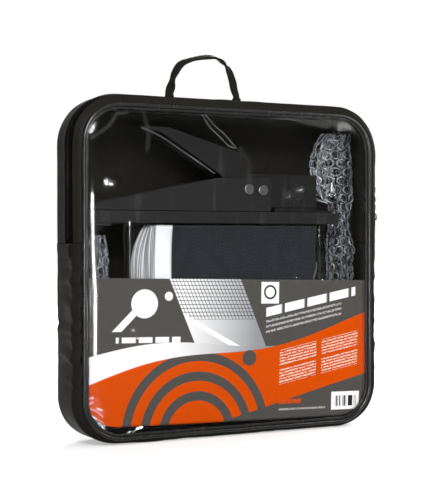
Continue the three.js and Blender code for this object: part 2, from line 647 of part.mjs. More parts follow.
/** The clip lever: two cheeks, the jaw plate at one end and the squeezed back of the handle at the other. */
function leverGeometry() {
  const jawEndX = -48.8;
  const jawHeelX = -4;
  const cheeks = shapeOf([
    [jawEndX, JAW_FACE_Z], [jawEndX, -31.7], [jawHeelX, -31.7], [18.5, -31.6], [24.3, -48.4], [89.2, -67.3],
    [113.4, -67.6], [95.2, -62.5], [43.3, -30.5], [26, -12], [15, -5.4], [2, -5.4], [jawHeelX, JAW_FACE_Z],
  ]);
  const aboveHandlesBack = shapeOf([
    [jawHeelX, 0], [60, 0], [120, -64.6], [89.2, -65.7], [25.4, -47.1], [19.6, -30.2], [jawHeelX, -30.2],
  ]);
  const within = LEVER_OUT - SHEET;
  const underJaw = boxBetween([jawEndX - 10, -within, -60], [jawHeelX + 1, within, JAW_FACE_Z - SHEET]);
  const lever = solid(plateXZ(cheeks, -LEVER_OUT, LEVER_OUT)).subtract(solid(underJaw))
    .subtract(solid(plateXZ(aboveHandlesBack, -within, within)))
    .subtract(solid(plateXZ(stopSlot(), -CLAMP_WIDTH, CLAMP_WIDTH)))
    .subtract(pinHole(PIVOT));
  return geometryOf(lever);
}

const HEAD_RADIUS = 4.3;
const HEAD_HEIGHT = 1.1;
/** A headed pin through both cheeks, with a riveted head at each end. */
function pinGeometry([x, z]) {
  const near = CHEEK_OUT + GAP;
  const far = near + HEAD_HEIGHT;
  const whole = solid(cylinderY(HEAD_RADIUS, x, z, -far, far));
  const waist = solid(cylinderY(HEAD_RADIUS + 1, x, z, -near, near)).subtract(
    solid(cylinderY(PIN_RADIUS, x, z, -far, far)));
  return geometryOf(whole.subtract(waist));
}

/** The torsion spring: curls round the pivot pin, one leg to the bracket's web, one to the handle's back. */
const SPRING_CURLS = 4;
const SPRING_RADIUS = 4.6;
const SPRING_WIRE = 0.75;
function springGeometry() {
  const stepsPerCurl = 8;
  const turnSteps = SPRING_CURLS * stepsPerCurl + 3;
  const rise = 2 * SPRING_WIRE + 0.5;
  const curl = Array.from({ length: turnSteps + 1 }, (_, step) => {
    const angle = Math.PI / 2 + (2 * Math.PI * step) / stepsPerCurl;
    const y = ((step - turnSteps / 2) / stepsPerCurl) * rise;
    return [PIVOT[0] + SPRING_RADIUS * Math.cos(angle), y, PIVOT[1] + SPRING_RADIUS * Math.sin(angle)];
  });
  const [first, last] = [curl[0], curl[turnSteps]];
  const underWeb = -GAP - SHEET - SPRING_WIRE - 0.5;
  const webLeg = [[first[0] + 24, first[1] - 1, underWeb], [first[0] + 10, first[1] - 0.7, -8.5]];
  const handleLeg = [[last[0] + 13, last[1] + 0.6, last[2] - 13], [last[0] + 26, last[1] + 1, last[2] - 26]];
  const centres = [...webLeg, ...curl, ...handleLeg];
  const sides = 5;
  const rings = centres.map((centre, step) => {
    const before = new THREE.Vector3(...centres[Math.max(step - 1, 0)]);
    const after = new THREE.Vector3(...centres[Math.min(step + 1, centres.length - 1)]);
    const tangent = after.sub(before).normalize();
    const across = new THREE.Vector3(0, 1, 0).cross(tangent).normalize();
    const up = tangent.clone().cross(across);
    return Array.from({ length: sides }, (_, side) => {
      const angle = (2 * Math.PI * side) / sides;
      const out = across.clone().multiplyScalar(Math.cos(angle)).addScaledVector(up, Math.sin(angle));
      return out.multiplyScalar(SPRING_WIRE).add(new THREE.Vector3(...centre)).toArray();
    });
  });
  return loft(rings);
}

// Post: a tube in a moulded base, with a screw down its middle that lifts the net's hook in a slot.
const POST_TOP_Z = 139;
const TUBE_BORE = 4.7;
const BASE_TOP_Z = 16;
const SOCKET_FLOOR_Z = POST_FOOT_Z + 6;
const HOOK_TRAVEL = 6.1;
const HOOK_NUT_Z = 114;
const NUT_HEIGHT = 8;
const SLOT_LOW_Z = HOOK_NUT_Z - 2;
const SLOT_TOP_Z = HOOK_NUT_Z + NUT_HEIGHT + HOOK_TRAVEL + 4.9;
const CAP_TOP_Z = POST_TOP_Z + 3.2;
const KNOB_LOW_Z = CAP_TOP_Z + GAP;
const THREAD_RADIUS = 2.4;

function postBaseGeometry() {
  const half = HALF_CLAMP - SHEET - GAP;
  const [blockTop, collarLow, past] = [BASE_TOP_Z - 4, BASE_TOP_Z - 6, BASE_TOP_Z + 10];
  const bore = POST_RADIUS + GAP;
  const block = boxBetween([NET_HEIGHT - half, -half, POST_FOOT_Z], [NET_HEIGHT + half, half, blockTop]);
  const collar = turned([[0, collarLow], [10.5, collarLow], [8.6, BASE_TOP_Z], [0, BASE_TOP_Z]], NET_HEIGHT);
  const socket = turned([[0, SOCKET_FLOOR_Z], [bore, SOCKET_FLOOR_Z], [bore, past], [0, past]], NET_HEIGHT);
  return geometryOf(solid(block).add(solid(collar)).subtract(solid(socket)).subtract(screwHole()));
}

/** A straight-walled sleeve about the post's own line. */
const sleeve = (bore, radius, low, top) =>
  turned([[bore, low], [radius, low], [radius, top], [bore, top], [bore, low]], NET_HEIGHT);

function postTubeGeometry() {
  const tube = sleeve(TUBE_BORE, POST_RADIUS, SOCKET_FLOOR_Z + GAP, POST_TOP_Z);
  const slot = boxBetween([NET_HEIGHT - 10, -2, SLOT_LOW_Z], [NET_HEIGHT, 2, SLOT_TOP_Z]);
  return geometryOf(solid(tube).subtract(solid(slot)));
}

/** A cap over the tube's top, with a hole for the screw's neck. */
const postCapGeometry = () => sleeve(THREAD_RADIUS + 0.5, POST_RADIUS + 0.8, POST_TOP_Z + GAP, CAP_TOP_Z);

/** The height knob and its screw in one: fluted grip on top, screw down inside the post. */
function knobGeometry() {
  const low = KNOB_LOW_Z;
  const screwEnd = SLOT_LOW_Z - 4;
  let knob = solid(turned([
    [0, screwEnd], [THREAD_RADIUS, screwEnd], [THREAD_RADIUS, low], [7, low], [7.6, low + 1.2],
    [7.6, low + 7], [6.4, low + 9], [0, low + 9],
  ], NET_HEIGHT));
  const [flutes, fluteRadius, fluteReach] = [8, 1.3, 8.3];
  for (let flute = 0; flute < flutes; flute += 1) {
    const angle = (2 * Math.PI * flute) / flutes;
    const groove = new THREE.CylinderGeometry(fluteRadius, fluteRadius, 14, 8).rotateX(Math.PI / 2);
    const place = move(NET_HEIGHT + fluteReach * Math.cos(angle), fluteReach * Math.sin(angle), low + 4.5);
    knob = knob.subtract(solid(groove, place));
  }
  return geometryOf(knob);
}

/** The net's hook: a nut on the screw, an arm out through the slot and an upturned lip. */
function hookGeometry() {
  const nut = sleeve(THREAD_RADIUS + GAP, TUBE_BORE - GAP - 0.05, HOOK_NUT_Z, HOOK_NUT_Z + NUT_HEIGHT);
  const [reach, low, halfArm] = [NET_HEIGHT - 10.4, HOOK_NUT_Z + 1, 1.6];
  const arm = boxBetween([reach, -halfArm, low], [NET_HEIGHT - 3.6, halfArm, low + 4]);
  const lip = boxBetween([reach, -halfArm, low], [reach + 1.8, halfArm, low + 8]);
  return geometryOf(solid(nut).add(solid(arm)).add(solid(lip)));
}

/** Every piece of one clamp, upright, its names ending in the clamp's letter. */
function netClamp(letter) {
  const padsBackX = -8;
  const [upperPad, lowerPad] = [-GAP - PAD_WALL, JAW_FACE_Z + GAP].map((low, side) =>
    boxBetween([side ? -47 : -66, -9.6, low], [padsBackX, 9.6, low + PAD_WALL]));
  return group(
    piece(`rail_${letter}`, railGeometry(), blackPaint),
    piece(`bracket_${letter}`, bracketGeometry(), blackPaint),
    piece(`clip_lever_${letter}`, leverGeometry(), blackPaint),
    piece(`pivot_pin_${letter}`, pinGeometry(PIVOT), brightSteel),
    piece(`stop_pin_${letter}`, pinGeometry(STOP_PIN), brightSteel),
    piece(`clip_spring_${letter}`, springGeometry(), brightSteel),
    piece(`upper_jaw_pad_${letter}`, upperPad, rubber),
    piece(`lower_jaw_pad_${letter}`, lowerPad, rubber),
    piece(`post_screw_${letter}`, postScrewGeometry(), brightSteel),
    piece(`post_base_${letter}`, postBaseGeometry(), blackPlastic),
    piece(`post_tube_${letter}`, postTubeGeometry(), blackPaint),
    piece(`post_cap_${letter}`, postCapGeometry(), blackPlastic),
    piece(`height_knob_${letter}`, knobGeometry(), blackPlastic),
    piece(`net_hook_${letter}`, hookGeometry(), brightSteel),
  );
}

// ---------------------------------------------------------------- where the clamps lie in the case
// The pair lie head to tail: one is the other turned half round about the case's middle.
const CLAMP_EDGE_X = 33.5;
const FRONT_CLAMP_Z = 184.3;
const REAR_CLAMP_Z = 2 * CENTRE_Z - FRONT_CLAMP_Z;
const FRONT_CLAMP_Y = -4;
const REAR_CLAMP_Y = 5.8;

function placedClamps() {
  const front = netClamp('a');
  front.rotation.y = Math.PI;
  front.position.set(CLAMP_EDGE_X, FRONT_CLAMP_Y, FRONT_CLAMP_Z);
  const rear = netClamp('b');
  rear.position.set(-CLAMP_EDGE_X, REAR_CLAMP_Y, REAR_CLAMP_Z);
  return [front, rear];
}

// Bubble wrap round each post, gathered where the other clamp's rail passes and loose above that.
const WRAP_OUTER_X = NET_HEIGHT + 13.5;
/** Rings in upright clamp places: [z, middle x, half width, half depth, bore radius]. */
function wrapRings(loose) {
  const looseRing = (z, share, drawnIn, halfDepth, bore) =>
    [z, WRAP_OUTER_X - drawnIn - share * loose, share * loose, halfDepth, bore];
  return [
    [19, 152, 13.2, 13.2, 7.2], [40, 151.5, 13.5, 13.4, 7.2], [68, 151, 13.8, 13.6, 7.2],
    [80, 151.5, 11.5, 11.5, 7], [104, 151.5, 11.5, 11.5, 7],
    looseRing(109, 0.9, 0, 13.8, 11), looseRing(120, 1, 0, 13.9, 11), looseRing(145, 1, 0, 13.9, 11),
    looseRing(160, 0.8, 3, 12.5, 9), looseRing(167, 0.65, 4, 10.5, 6),
  ];
}
function wrapGeometry(loose) {
  const sides = 16;
  const around = (x, halfWidth, halfDepth, z) => Array.from({ length: sides }, (_, side) => {
    const angle = (2 * Math.PI * side) / sides;
    return [x + halfWidth * Math.cos(angle), halfDepth * Math.sin(angle), z];
  });
  const rings = wrapRings(loose);
  const outer = rings.map(([z, x, halfWidth, halfDepth]) => around(x, halfWidth, halfDepth, z));
  const inner = rings.map(([z, , , , bore]) => around(NET_HEIGHT, bore, bore, z)).reverse();
  return loft([...outer, ...inner], true);
}

function bubbleWraps() {
  const left = piece('bubble_wrap_left', wrapGeometry(16.5), clearFilm);
  left.rotation.y = Math.PI;
  left.position.set(CLAMP_EDGE_X, FRONT_CLAMP_Y, FRONT_CLAMP_Z);
  const right = piece('bubble_wrap_right', wrapGeometry(22.8), clearFilm);
  right.position.set(-CLAMP_EDGE_X, REAR_CLAMP_Y, REAR_CLAMP_Z);
  return [left, right];
}

// ---------------------------------------------------------------- the whole set
const wholeSet = group(
  lowerCase(),
  upperCaseBack(),
  upperFront(),
  piece('zip_end_tab_left', zipEndTab(-1), glossTrim),
  piece('zip_end_tab_right', zipEndTab(1), glossTrim),
  piece('zip_slider_upper', sliderGeometry(UPPER_SLIDER_Z, 1), brightSteel),
  piece('zip_slider_lower', sliderGeometry(LOWER_SLIDER_Z, -1), brightSteel),
  piece('zip_pull_upper', pullGeometry(UPPER_SLIDER_Z), brightSteel),
  piece('zip_pull_lower', pullGeometry(LOWER_SLIDER_Z), brightSteel),
  piece('carry_handle', handleGeometry(), satinFabric),
  piece('handle_foot_left', handleFoot(HANDLE_FEET_X[0]), satinFabric),
  piece('handle_foot_right', handleFoot(HANDLE_FEET_X[1]), satinFabric),
  piece('insert_card', cardGeometry(), printedCard),
  piece('folded_net', netGeometry(), netCord),
  piece('net_tape', foldedGeometry(NET_WALL, NET_LEFT_X, NET_LEFT_X + TAPE_WIDTH), whiteTape),
  piece('net_pouch', pouchGeometry(), clearFilm),
  placedClamps(),
  bubbleWraps(),
);

// The origin stands under the middle of the whole, with the pulls on the right counted.
const BRIDGE_REACH_X = SLIDER_FACE_X + BRIDGE_RISE;
wholeSet.position.x = -(BRIDGE_REACH_X - TAB_FACE_X) / 2;

export default wholeSet;
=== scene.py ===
"""A table tennis net set in its zipped carry case, dressed round its working frame.

The soft case has a woven gusset, glossy seam trim and a clear front. Behind the film lie two net clamps,
a folded net in a clear bag, bubble wrap round both posts and a printed card.
Every size is in metres, in the frame's own axes: +X right, +Y back, +Z up.
"""

import json
import logging
import math
from dataclasses import dataclass
from enum import Enum
from typing import Callable, Sequence

import bmesh
import bpy
import numpy as np
from mathutils import Euler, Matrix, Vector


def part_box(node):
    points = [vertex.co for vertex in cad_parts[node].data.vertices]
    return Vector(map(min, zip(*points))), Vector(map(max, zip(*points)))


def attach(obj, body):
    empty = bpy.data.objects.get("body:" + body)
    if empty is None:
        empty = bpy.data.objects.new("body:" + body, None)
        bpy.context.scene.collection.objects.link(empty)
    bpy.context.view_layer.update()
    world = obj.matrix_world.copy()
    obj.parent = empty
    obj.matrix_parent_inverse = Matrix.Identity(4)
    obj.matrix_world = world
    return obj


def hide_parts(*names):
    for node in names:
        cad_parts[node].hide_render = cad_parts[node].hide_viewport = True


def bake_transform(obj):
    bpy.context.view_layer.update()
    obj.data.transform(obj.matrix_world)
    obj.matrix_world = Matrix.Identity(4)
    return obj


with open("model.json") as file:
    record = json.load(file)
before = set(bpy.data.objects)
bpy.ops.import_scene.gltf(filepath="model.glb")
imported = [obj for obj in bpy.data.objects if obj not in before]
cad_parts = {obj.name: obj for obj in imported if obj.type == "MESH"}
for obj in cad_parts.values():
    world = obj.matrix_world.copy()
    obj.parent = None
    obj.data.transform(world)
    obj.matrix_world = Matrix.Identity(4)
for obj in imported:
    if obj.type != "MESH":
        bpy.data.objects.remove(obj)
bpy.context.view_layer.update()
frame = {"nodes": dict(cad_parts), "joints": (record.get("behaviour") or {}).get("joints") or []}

LOG = logging.getLogger("net_set")
MM = 0.001
CASE_BODY = "case"
FRONT_BODY = "upper_front"
EYE_PLACE = (-0.45645, -0.8939, 0.160)   # the camera
STRIP_PLACE = (-0.169, -0.87, 0.113)     # the tall lamp that the film's left edge mirrors
PANEL_PLACE = (-0.22, -0.85, 0.50)       # the small lamp that the film's facets mirror

Array = np.ndarray
Colour = tuple[float, float, float]
Socket = bpy.types.NodeSocket
Node = bpy.types.Node
Tree = bpy.types.NodeTree
Material = bpy.types.Material
Piece = bpy.types.Object


# ---------------------------------------------------------------- shapes worked out on grids
def node_size(node: str) -> tuple[Array, Array]:
    """Lowest and highest corner of a frame node, as arrays."""
    low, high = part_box(node)
    return np.array(low), np.array(high)


def waves(points: Array, length: float, seed: int, count: int = 14) -> Array:
    """Smooth random unevenness, about -1 to 1.

    The value is the mean of sine waves that run in random directions, scaled to unit spread:
    sum of sin(k . p + phase), with |k| near 2 pi / length.

    Args:
        points: Places, with X, Y and Z on the last axis.
        length: The usual distance from crest to crest.
        seed: Draws the directions and phases.
        count: How many waves are added.

    Returns:
        One value for each place.
    """
    draw = np.random.default_rng(seed)
    directions = draw.normal(size=(count, 3))
    directions /= np.linalg.norm(directions, axis=1, keepdims=True)
    lengths = length * draw.uniform(0.7, 1.6, count)
    phases = draw.uniform(0, 2 * np.pi, count)
    turns = points @ (directions * (2 * np.pi / lengths)[:, None]).T + phases
    return np.sin(turns).sum(-1) / math.sqrt(count / 2) / 1.6


def smooth_step(value: Array, start: float, end: float) -> Array:
    """Zero before start, one after end, and 3t^2 - 2t^3 between them."""
    t = np.clip((value - start) / (end - start), 0, 1)
    return t * t * (3 - 2 * t)


def hump(value: Array, middle: float, width: float) -> Array:
    """A bell of height one: exp of minus the squared distance from the middle over the width."""
    return np.exp(-(((value - middle) / width) ** 2))


def crease(x: Array, z: Array, start: tuple[float, float], end: tuple[float, float], width: float) -> Array:
    """A long soft ridge of height one between two places, fading at both ends.

    The height is a bell across the line through both places, times a bell along it.
    """
    (x0, z0), (x1, z1) = start, end
    length = math.hypot(x1 - x0, z1 - z0)
    along_x, along_z = (x1 - x0) / length, (z1 - z0) / length
    along = (x - x0) * along_x + (z - z0) * along_z
    across = (x - x0) * along_z - (z - z0) * along_x
    ends = smooth_step(along, -0.25 * length, 0.2 * length)
    ends = ends * (1 - smooth_step(along, 0.8 * length, 1.25 * length))
    return np.exp(-((across / width) ** 2)) * ends


@dataclass(frozen=True)
class Outline:
    """A rectangle with round corners in X and Z, walked from the middle of its base to the right and up."""

    centre_x: float
    centre_z: float
    half_width: float
    half_height: float
    radius: float

    def inset(self, distance: float) -> "Outline":
        """The parallel outline that lies inside this one by a distance."""
        return Outline(self.centre_x, self.centre_z, self.half_width - distance,
                       self.half_height - distance, self.radius - distance)

    def _breaks(self) -> tuple[Array, Array, Array, Array]:
        """Walked distance, corner centre X and Z, and the normal's angle at each end of a straight."""
        flat, rise = self.half_width - self.radius, self.half_height - self.radius
        arc = self.radius * math.pi / 2
        steps = [0, flat, arc, 2 * rise, arc, 2 * flat, arc, 2 * rise, arc, flat]
        across = flat * np.array([0, 1, 1, 1, 1, -1, -1, -1, -1, 0])
        up = rise * np.array([-1, -1, -1, 1, 1, 1, 1, -1, -1, -1])
        angle = np.pi / 2 * np.array([-1, -1, 0, 0, 1, 1, 2, 2, 3, 3])
        return np.cumsum(steps), across, up, angle

    @property
    def length(self) -> float:
        """The whole way round."""
        return float(self._breaks()[0][-1])

    def side_distance(self, height: float, right: bool) -> float:
        """How far along the outline its right or left side passes a height."""
        walked = self._breaks()[0]
        low_z = self.centre_z - (self.half_height - self.radius)
        return float(walked[2] + height - low_z if right else walked[7] - (height - low_z))

    def at(self, distance: Array) -> tuple[Array, Array, Array, Array]:
        """Place and outward normal at walked distances, which wrap round.

        On a straight the corner centre moves and the normal stands still, and on an arc the other way,
        so both are linear in the distance: place = centre + radius * normal.
        """
        walked, across, up, angle = self._breaks()
        distance = np.mod(distance, self.length)
        turn = np.interp(distance, walked, angle)
        normal_x, normal_z = np.cos(turn), np.sin(turn)
        x = self.centre_x + np.interp(distance, walked, across) + self.radius * normal_x
        z = self.centre_z + np.interp(distance, walked, up) + self.radius * normal_z
        return x, z, normal_x, normal_z

    def carried(self, way: Array, out: Array, depth: Array) -> Array:
        """A row of places for each walked distance, moved outwards and standing at depths."""
        x, z, normal_x, normal_z = (part[:, None] for part in self.at(way))
        return np.stack(np.broadcast_arrays(x + out * normal_x, depth, z + out * normal_z), -1)

    def ways(self, way: Array) -> tuple[Array, Array]:
        """Directions along the outline and out of it at walked distances."""
        _, _, normal_x, normal_z = self.at(way)
        return np.stack([-normal_z, 0 * way, normal_x], -1), np.stack([normal_x, 0 * way, normal_z], -1)

    def edge_distance(self, x: Array, z: Array) -> Array:
        """How far inside the outline each place lies, negative outside: a rounded box's distance."""
        past_x = np.abs(x - self.centre_x) - (self.half_width - self.radius)
        past_z = np.abs(z - self.centre_z) - (self.half_height - self.radius)
        outside = np.hypot(np.maximum(past_x, 0), np.maximum(past_z, 0))
        return self.radius - outside - np.minimum(np.maximum(past_x, past_z), 0)

    def drawn_inside(self, x: Array, z: Array) -> tuple[Array, Array]:
        """The same places, with those outside moved onto the outline along the corner's radius."""
        flat, rise = self.half_width - self.radius, self.half_height - self.radius
        corner_x = self.centre_x + np.clip(x - self.centre_x, -flat, flat)
        corner_z = self.centre_z + np.clip(z - self.centre_z, -rise, rise)
        reach = np.maximum(np.hypot(x - corner_x, z - corner_z), 1e-9)
        share = np.minimum(self.radius / reach, 1)
        return corner_x + (x - corner_x) * share, corner_z + (z - corner_z) * share

    def filled(self, x: Array, z: Array) -> tuple[Array, Array, Array]:
        """Places of a grid, with those outside moved onto the outline, and which of its faces to keep."""
        x, z = np.broadcast_arrays(x[None, :], z[:, None])
        outside = self.edge_distance(x, z) < -1e-9
        corners_out = [outside[:-1, :-1], outside[1:, :-1], outside[:-1, 1:], outside[1:, 1:]]
        return *self.drawn_inside(x, z), ~np.logical_and.reduce(corners_out)


def graded(start: float, end: float, fine_from: float, fine_to: float) -> Array:
    """Places from start to end, 0.5 mm apart in the fine stretch and 1.1 mm apart outside it."""
    before = np.linspace(start, fine_from, max(2, round((fine_from - start) / (1.1 * MM))))
    fine = np.linspace(fine_from, fine_to, round((fine_to - fine_from) / (0.5 * MM)))
    after = np.linspace(fine_to, end, round((end - fine_to) / (1.1 * MM)))
    return np.concatenate([before, fine[1:-1], after])


def linked(name: str, data: bpy.types.ID) -> Piece:
    """A new object of the scene, at the origin."""
    piece = bpy.data.objects.new(name, data)
    bpy.context.scene.collection.objects.link(piece)
    return piece


def squared(value: Array, power: float) -> Array:
    """A superellipse's coordinate, from a sine or cosine: its size to a power, with its sign."""
    return np.sign(value) * np.abs(value) ** power


def surface(name: str, points: Array, material: Material, uv: Array | None = None,
            close_rows: bool = False, close_columns: bool = False, keep: Array | None = None,
            flip: bool = False) -> Piece:
    """A smooth mesh piece from a grid of places.

    Args:
        name: The piece's name.
        points: The grid, rows by columns by 3. A closed direction repeats its first line at the end.
        material: Its finish.
        uv: Pattern places, rows by columns by 2, in metres.
        close_rows: The last row is the first one again.
        close_columns: The last column is the first one again.
        keep: Which of the (rows - 1) by (columns - 1) faces are made.
        flip: Turns every face over.

    Returns:
        The new object, at the origin.
    """
    rows, columns = points.shape[:2]
    row_count = rows - 1 if close_rows else rows
    column_count = columns - 1 if close_columns else columns
    row, column = np.meshgrid(np.arange(rows - 1), np.arange(columns - 1), indexing="ij")
    corner_rows = np.stack([row, row + 1, row + 1, row], -1).reshape(-1, 4)
    corner_columns = np.stack([column, column, column + 1, column + 1], -1).reshape(-1, 4)
    if flip:
        corner_rows, corner_columns = corner_rows[:, ::-1], corner_columns[:, ::-1]
    if keep is not None:
        kept = keep.reshape(-1)
        corner_rows, corner_columns = corner_rows[kept], corner_columns[kept]
    faces = (corner_rows % row_count) * column_count + corner_columns % column_count
    vertices = points[:row_count, :column_count].reshape(-1, 3)
    used, faces = np.unique(faces, return_inverse=True)
    faces = faces.reshape(-1, 4)
    mesh = bpy.data.meshes.new(name)
    mesh.from_pydata(vertices[used].tolist(), [], faces.tolist())
    mesh.polygons.foreach_set("use_smooth", np.ones(len(faces), dtype=bool))
    if uv is not None:
        layer = mesh.uv_layers.new(name="UVMap")
        layer.data.foreach_set("uv", uv[corner_rows, corner_columns].astype(np.float32).ravel())
    mesh.materials.append(material)
    mesh.validate()
    return linked(name, mesh)


def joined(name: str, pieces: Sequence[Piece]) -> Piece:
    """One object from several, which keeps the first one's finish."""
    with bpy.context.temp_override(active_object=pieces[0], selected_editable_objects=list(pieces)):
        bpy.ops.object.join()
    pieces[0].name = name
    return pieces[0]


def merge_doubles(piece: Piece) -> None:
    """Merges the points of a closed pole, and turns every face outwards."""
    work = bmesh.new()
    work.from_mesh(piece.data)
    bmesh.ops.remove_doubles(work, verts=work.verts, dist=0.001 * MM)
    bmesh.ops.recalc_face_normals(work, faces=work.faces)
    work.to_mesh(piece.data)
    work.free()


def mesh_points(piece: Piece) -> Array:
    """The places of a piece's own points, N by 3."""
    places = np.empty(3 * len(piece.data.vertices), dtype=np.float32)
    piece.data.vertices.foreach_get("co", places)
    return places.reshape(-1, 3)


def walled(piece: Piece, wall: float, offset: float = -1) -> Piece:
    """Gives a sheet its thickness, behind its face when the offset is -1 and on both sides at 0."""
    solid = piece.modifiers.new("wall", "SOLIDIFY")
    solid.thickness, solid.offset = wall, offset
    return piece


def many_blocks(name: str, corners: Array, material: Material) -> Piece:
    """One object of many small six-sided solids.

    Args:
        name: The piece's name.
        corners: Solids by 8 by 3: four places round the base and the four above them.
        material: Their finish.

    Returns:
        The new object.
    """
    one = np.array([[0, 3, 2, 1], [4, 5, 6, 7], [0, 1, 5, 4], [1, 2, 6, 5], [2, 3, 7, 6], [3, 0, 4, 7]])
    faces = (one[None] + 8 * np.arange(len(corners))[:, None, None]).reshape(-1, 4)
    mesh = bpy.data.meshes.new(name)
    mesh.from_pydata(corners.reshape(-1, 3).tolist(), [], faces.tolist())
    mesh.materials.append(material)
    return linked(name, mesh)


def small_blocks(centre: Array, along: Array, across: Array, out: Array, size: Array) -> Array:
    """Corners of small solids that narrow a little outwards, for many_blocks.

    Args:
        centre: Places of the base middles, N by 3.
        along: Directions of the first size, N by 3 or one for all.
        across: Directions of the second size.
        out: Directions of the third size.
        size: Length, width and height.

    Returns:
        N by 8 by 3 corners.
    """
    corners = []
    for lift, share in ((0.0, 1.0), (1.0, 0.7)):
        for a, b in ((-1, -1), (1, -1), (1, 1), (-1, 1)):
            corners.append(centre + along * a * size[0] / 2 * share + across * b * size[1] / 2 * share
                           + out * lift * size[2])
    return np.stack(corners, 1)


# ---------------------------------------------------------------- materials
class Graph:
    """Short words for building one node tree."""

    def __init__(self, tree: Tree) -> None:
        """Works on a material's or a group's tree."""
        self.tree = tree

    def add(self, kind: str, **settings: object) -> Node:
        """A new node with some of its settings."""
        node = self.tree.nodes.new(kind)
        for key, value in settings.items():
            setattr(node, key, value)
        return node

    def put(self, socket: Socket, value: object) -> None:
        """Links a socket into another, or sets its constant."""
        if isinstance(value, Socket):
            self.tree.links.new(value, socket)
        else:
            socket.default_value = value

    def math(self, operation: str, *values: object) -> Socket:
        """One Math node's value."""
        node = self.add("ShaderNodeMath", operation=operation)
        for socket, value in zip(node.inputs, values):
            self.put(socket, value)
        return node.outputs[0]

    def vector(self, operation: str, *values: object) -> Socket:
        """One Vector Math node's vector."""
        node = self.add("ShaderNodeVectorMath", operation=operation)
        for socket, value in zip(node.inputs, values):
            self.put(socket, value)
        return node.outputs[0]

    def scaled(self, vector: object, share: object) -> Socket:
        """A vector or colour times a number."""
        node = self.add("ShaderNodeVectorMath", operation="SCALE")
        self.put(node.inputs[0], vector)
        self.put(node.inputs["Scale"], share)
        return node.outputs[0]

    def measure(self, operation: str, *values: object) -> Socket:
        """One Vector Math node's number, such as a distance or a dot product."""
        return self.vector(operation, *values).node.outputs["Value"]

    def split(self, vector: Socket) -> tuple[Socket, Socket, Socket]:
        """A vector's X, Y and Z."""
        node = self.add("ShaderNodeSeparateXYZ")
        self.put(node.inputs[0], vector)
        return node.outputs[0], node.outputs[1], node.outputs[2]

    def noise(self, vector: Socket, scale: object, detail: float = 2.0, roughness: float = 0.5) -> Socket:
        """Noise from 0 to 1, with scale in features per metre."""
        node = self.add("ShaderNodeTexNoise")
        self.put(node.inputs["Vector"], vector)
        self.put(node.inputs["Scale"], scale)
        node.inputs["Detail"].default_value = detail
        node.inputs["Roughness"].default_value = roughness
        return node.outputs["Fac"]

    def remap(self, value: Socket, low: float, high: float, to_low: float, to_high: float) -> Socket:
        """A value carried from one range to another and held inside it."""
        node = self.add("ShaderNodeMapRange")
        for socket, number in zip(node.inputs, (value, low, high, to_low, to_high)):
            self.put(socket, number)
        return node.outputs[0]

    def mix(self, share: object, first: object, second: object) -> Socket:
        """Two colours mixed."""
        node = self.add("ShaderNodeMix", data_type="RGBA")
        for socket, value in ((node.inputs[0], share), (node.inputs[6], first), (node.inputs[7], second)):
            self.put(socket, (*value, 1.0) if isinstance(value, tuple) and len(value) == 3 else value)
        return node.outputs[2]

    def bump(self, height: Socket, distance: float, strength: float = 1.0,
             normal: Socket | None = None) -> Socket:
        """A normal bent by a height, whose full range is the distance in metres."""
        node = self.add("ShaderNodeBump")
        node.inputs["Strength"].default_value = strength
        node.inputs["Distance"].default_value = distance
        self.put(node.inputs["Height"], height)
        if normal is not None:
            self.put(node.inputs["Normal"], normal)
        return node.outputs[0]

    def placed(self) -> Socket:
        """Object coordinates, in metres."""
        return self.add("ShaderNodeTexCoord").outputs["Object"]

    def woven(self) -> Socket:
        """The piece's own pattern coordinates, in metres."""
        return self.add("ShaderNodeTexCoord").outputs["UV"]

    def feed(self, node: Node, **values: object) -> Node:
        """Puts values into a node's sockets: underscores in the names stand for spaces."""
        for name, value in values.items():
            self.put(node.inputs[name.replace("_", " ")], value)
        return node

    def shared(self, effect: Tree, **values: object) -> Node:
        """One shared effect, with its own values."""
        return self.feed(self.add("ShaderNodeGroup", node_tree=effect), **values)


def new_effect(name: str, inputs: dict[str, tuple[str, object]], outputs: dict[str, str]) -> Graph:
    """An empty shared effect with named sockets.

    Args:
        name: The effect's name.
        inputs: Socket kind (Float, Vector or Color) and default by socket name.
        outputs: Socket kind by socket name.

    Returns:
        A graph on the new group. Its ends are the nodes named in and out.
    """
    tree = bpy.data.node_groups.new(name, "ShaderNodeTree")
    for socket_name, (kind, default) in inputs.items():
        made = tree.interface.new_socket(socket_name, in_out="INPUT", socket_type=f"NodeSocket{kind}")
        if default is not None:
            made.default_value = default
    for socket_name, kind in outputs.items():
        tree.interface.new_socket(socket_name, in_out="OUTPUT", socket_type=f"NodeSocket{kind}")
    graph = Graph(tree)
    graph.add("NodeGroupInput", name="in")
    graph.add("NodeGroupOutput", name="out")
    return graph


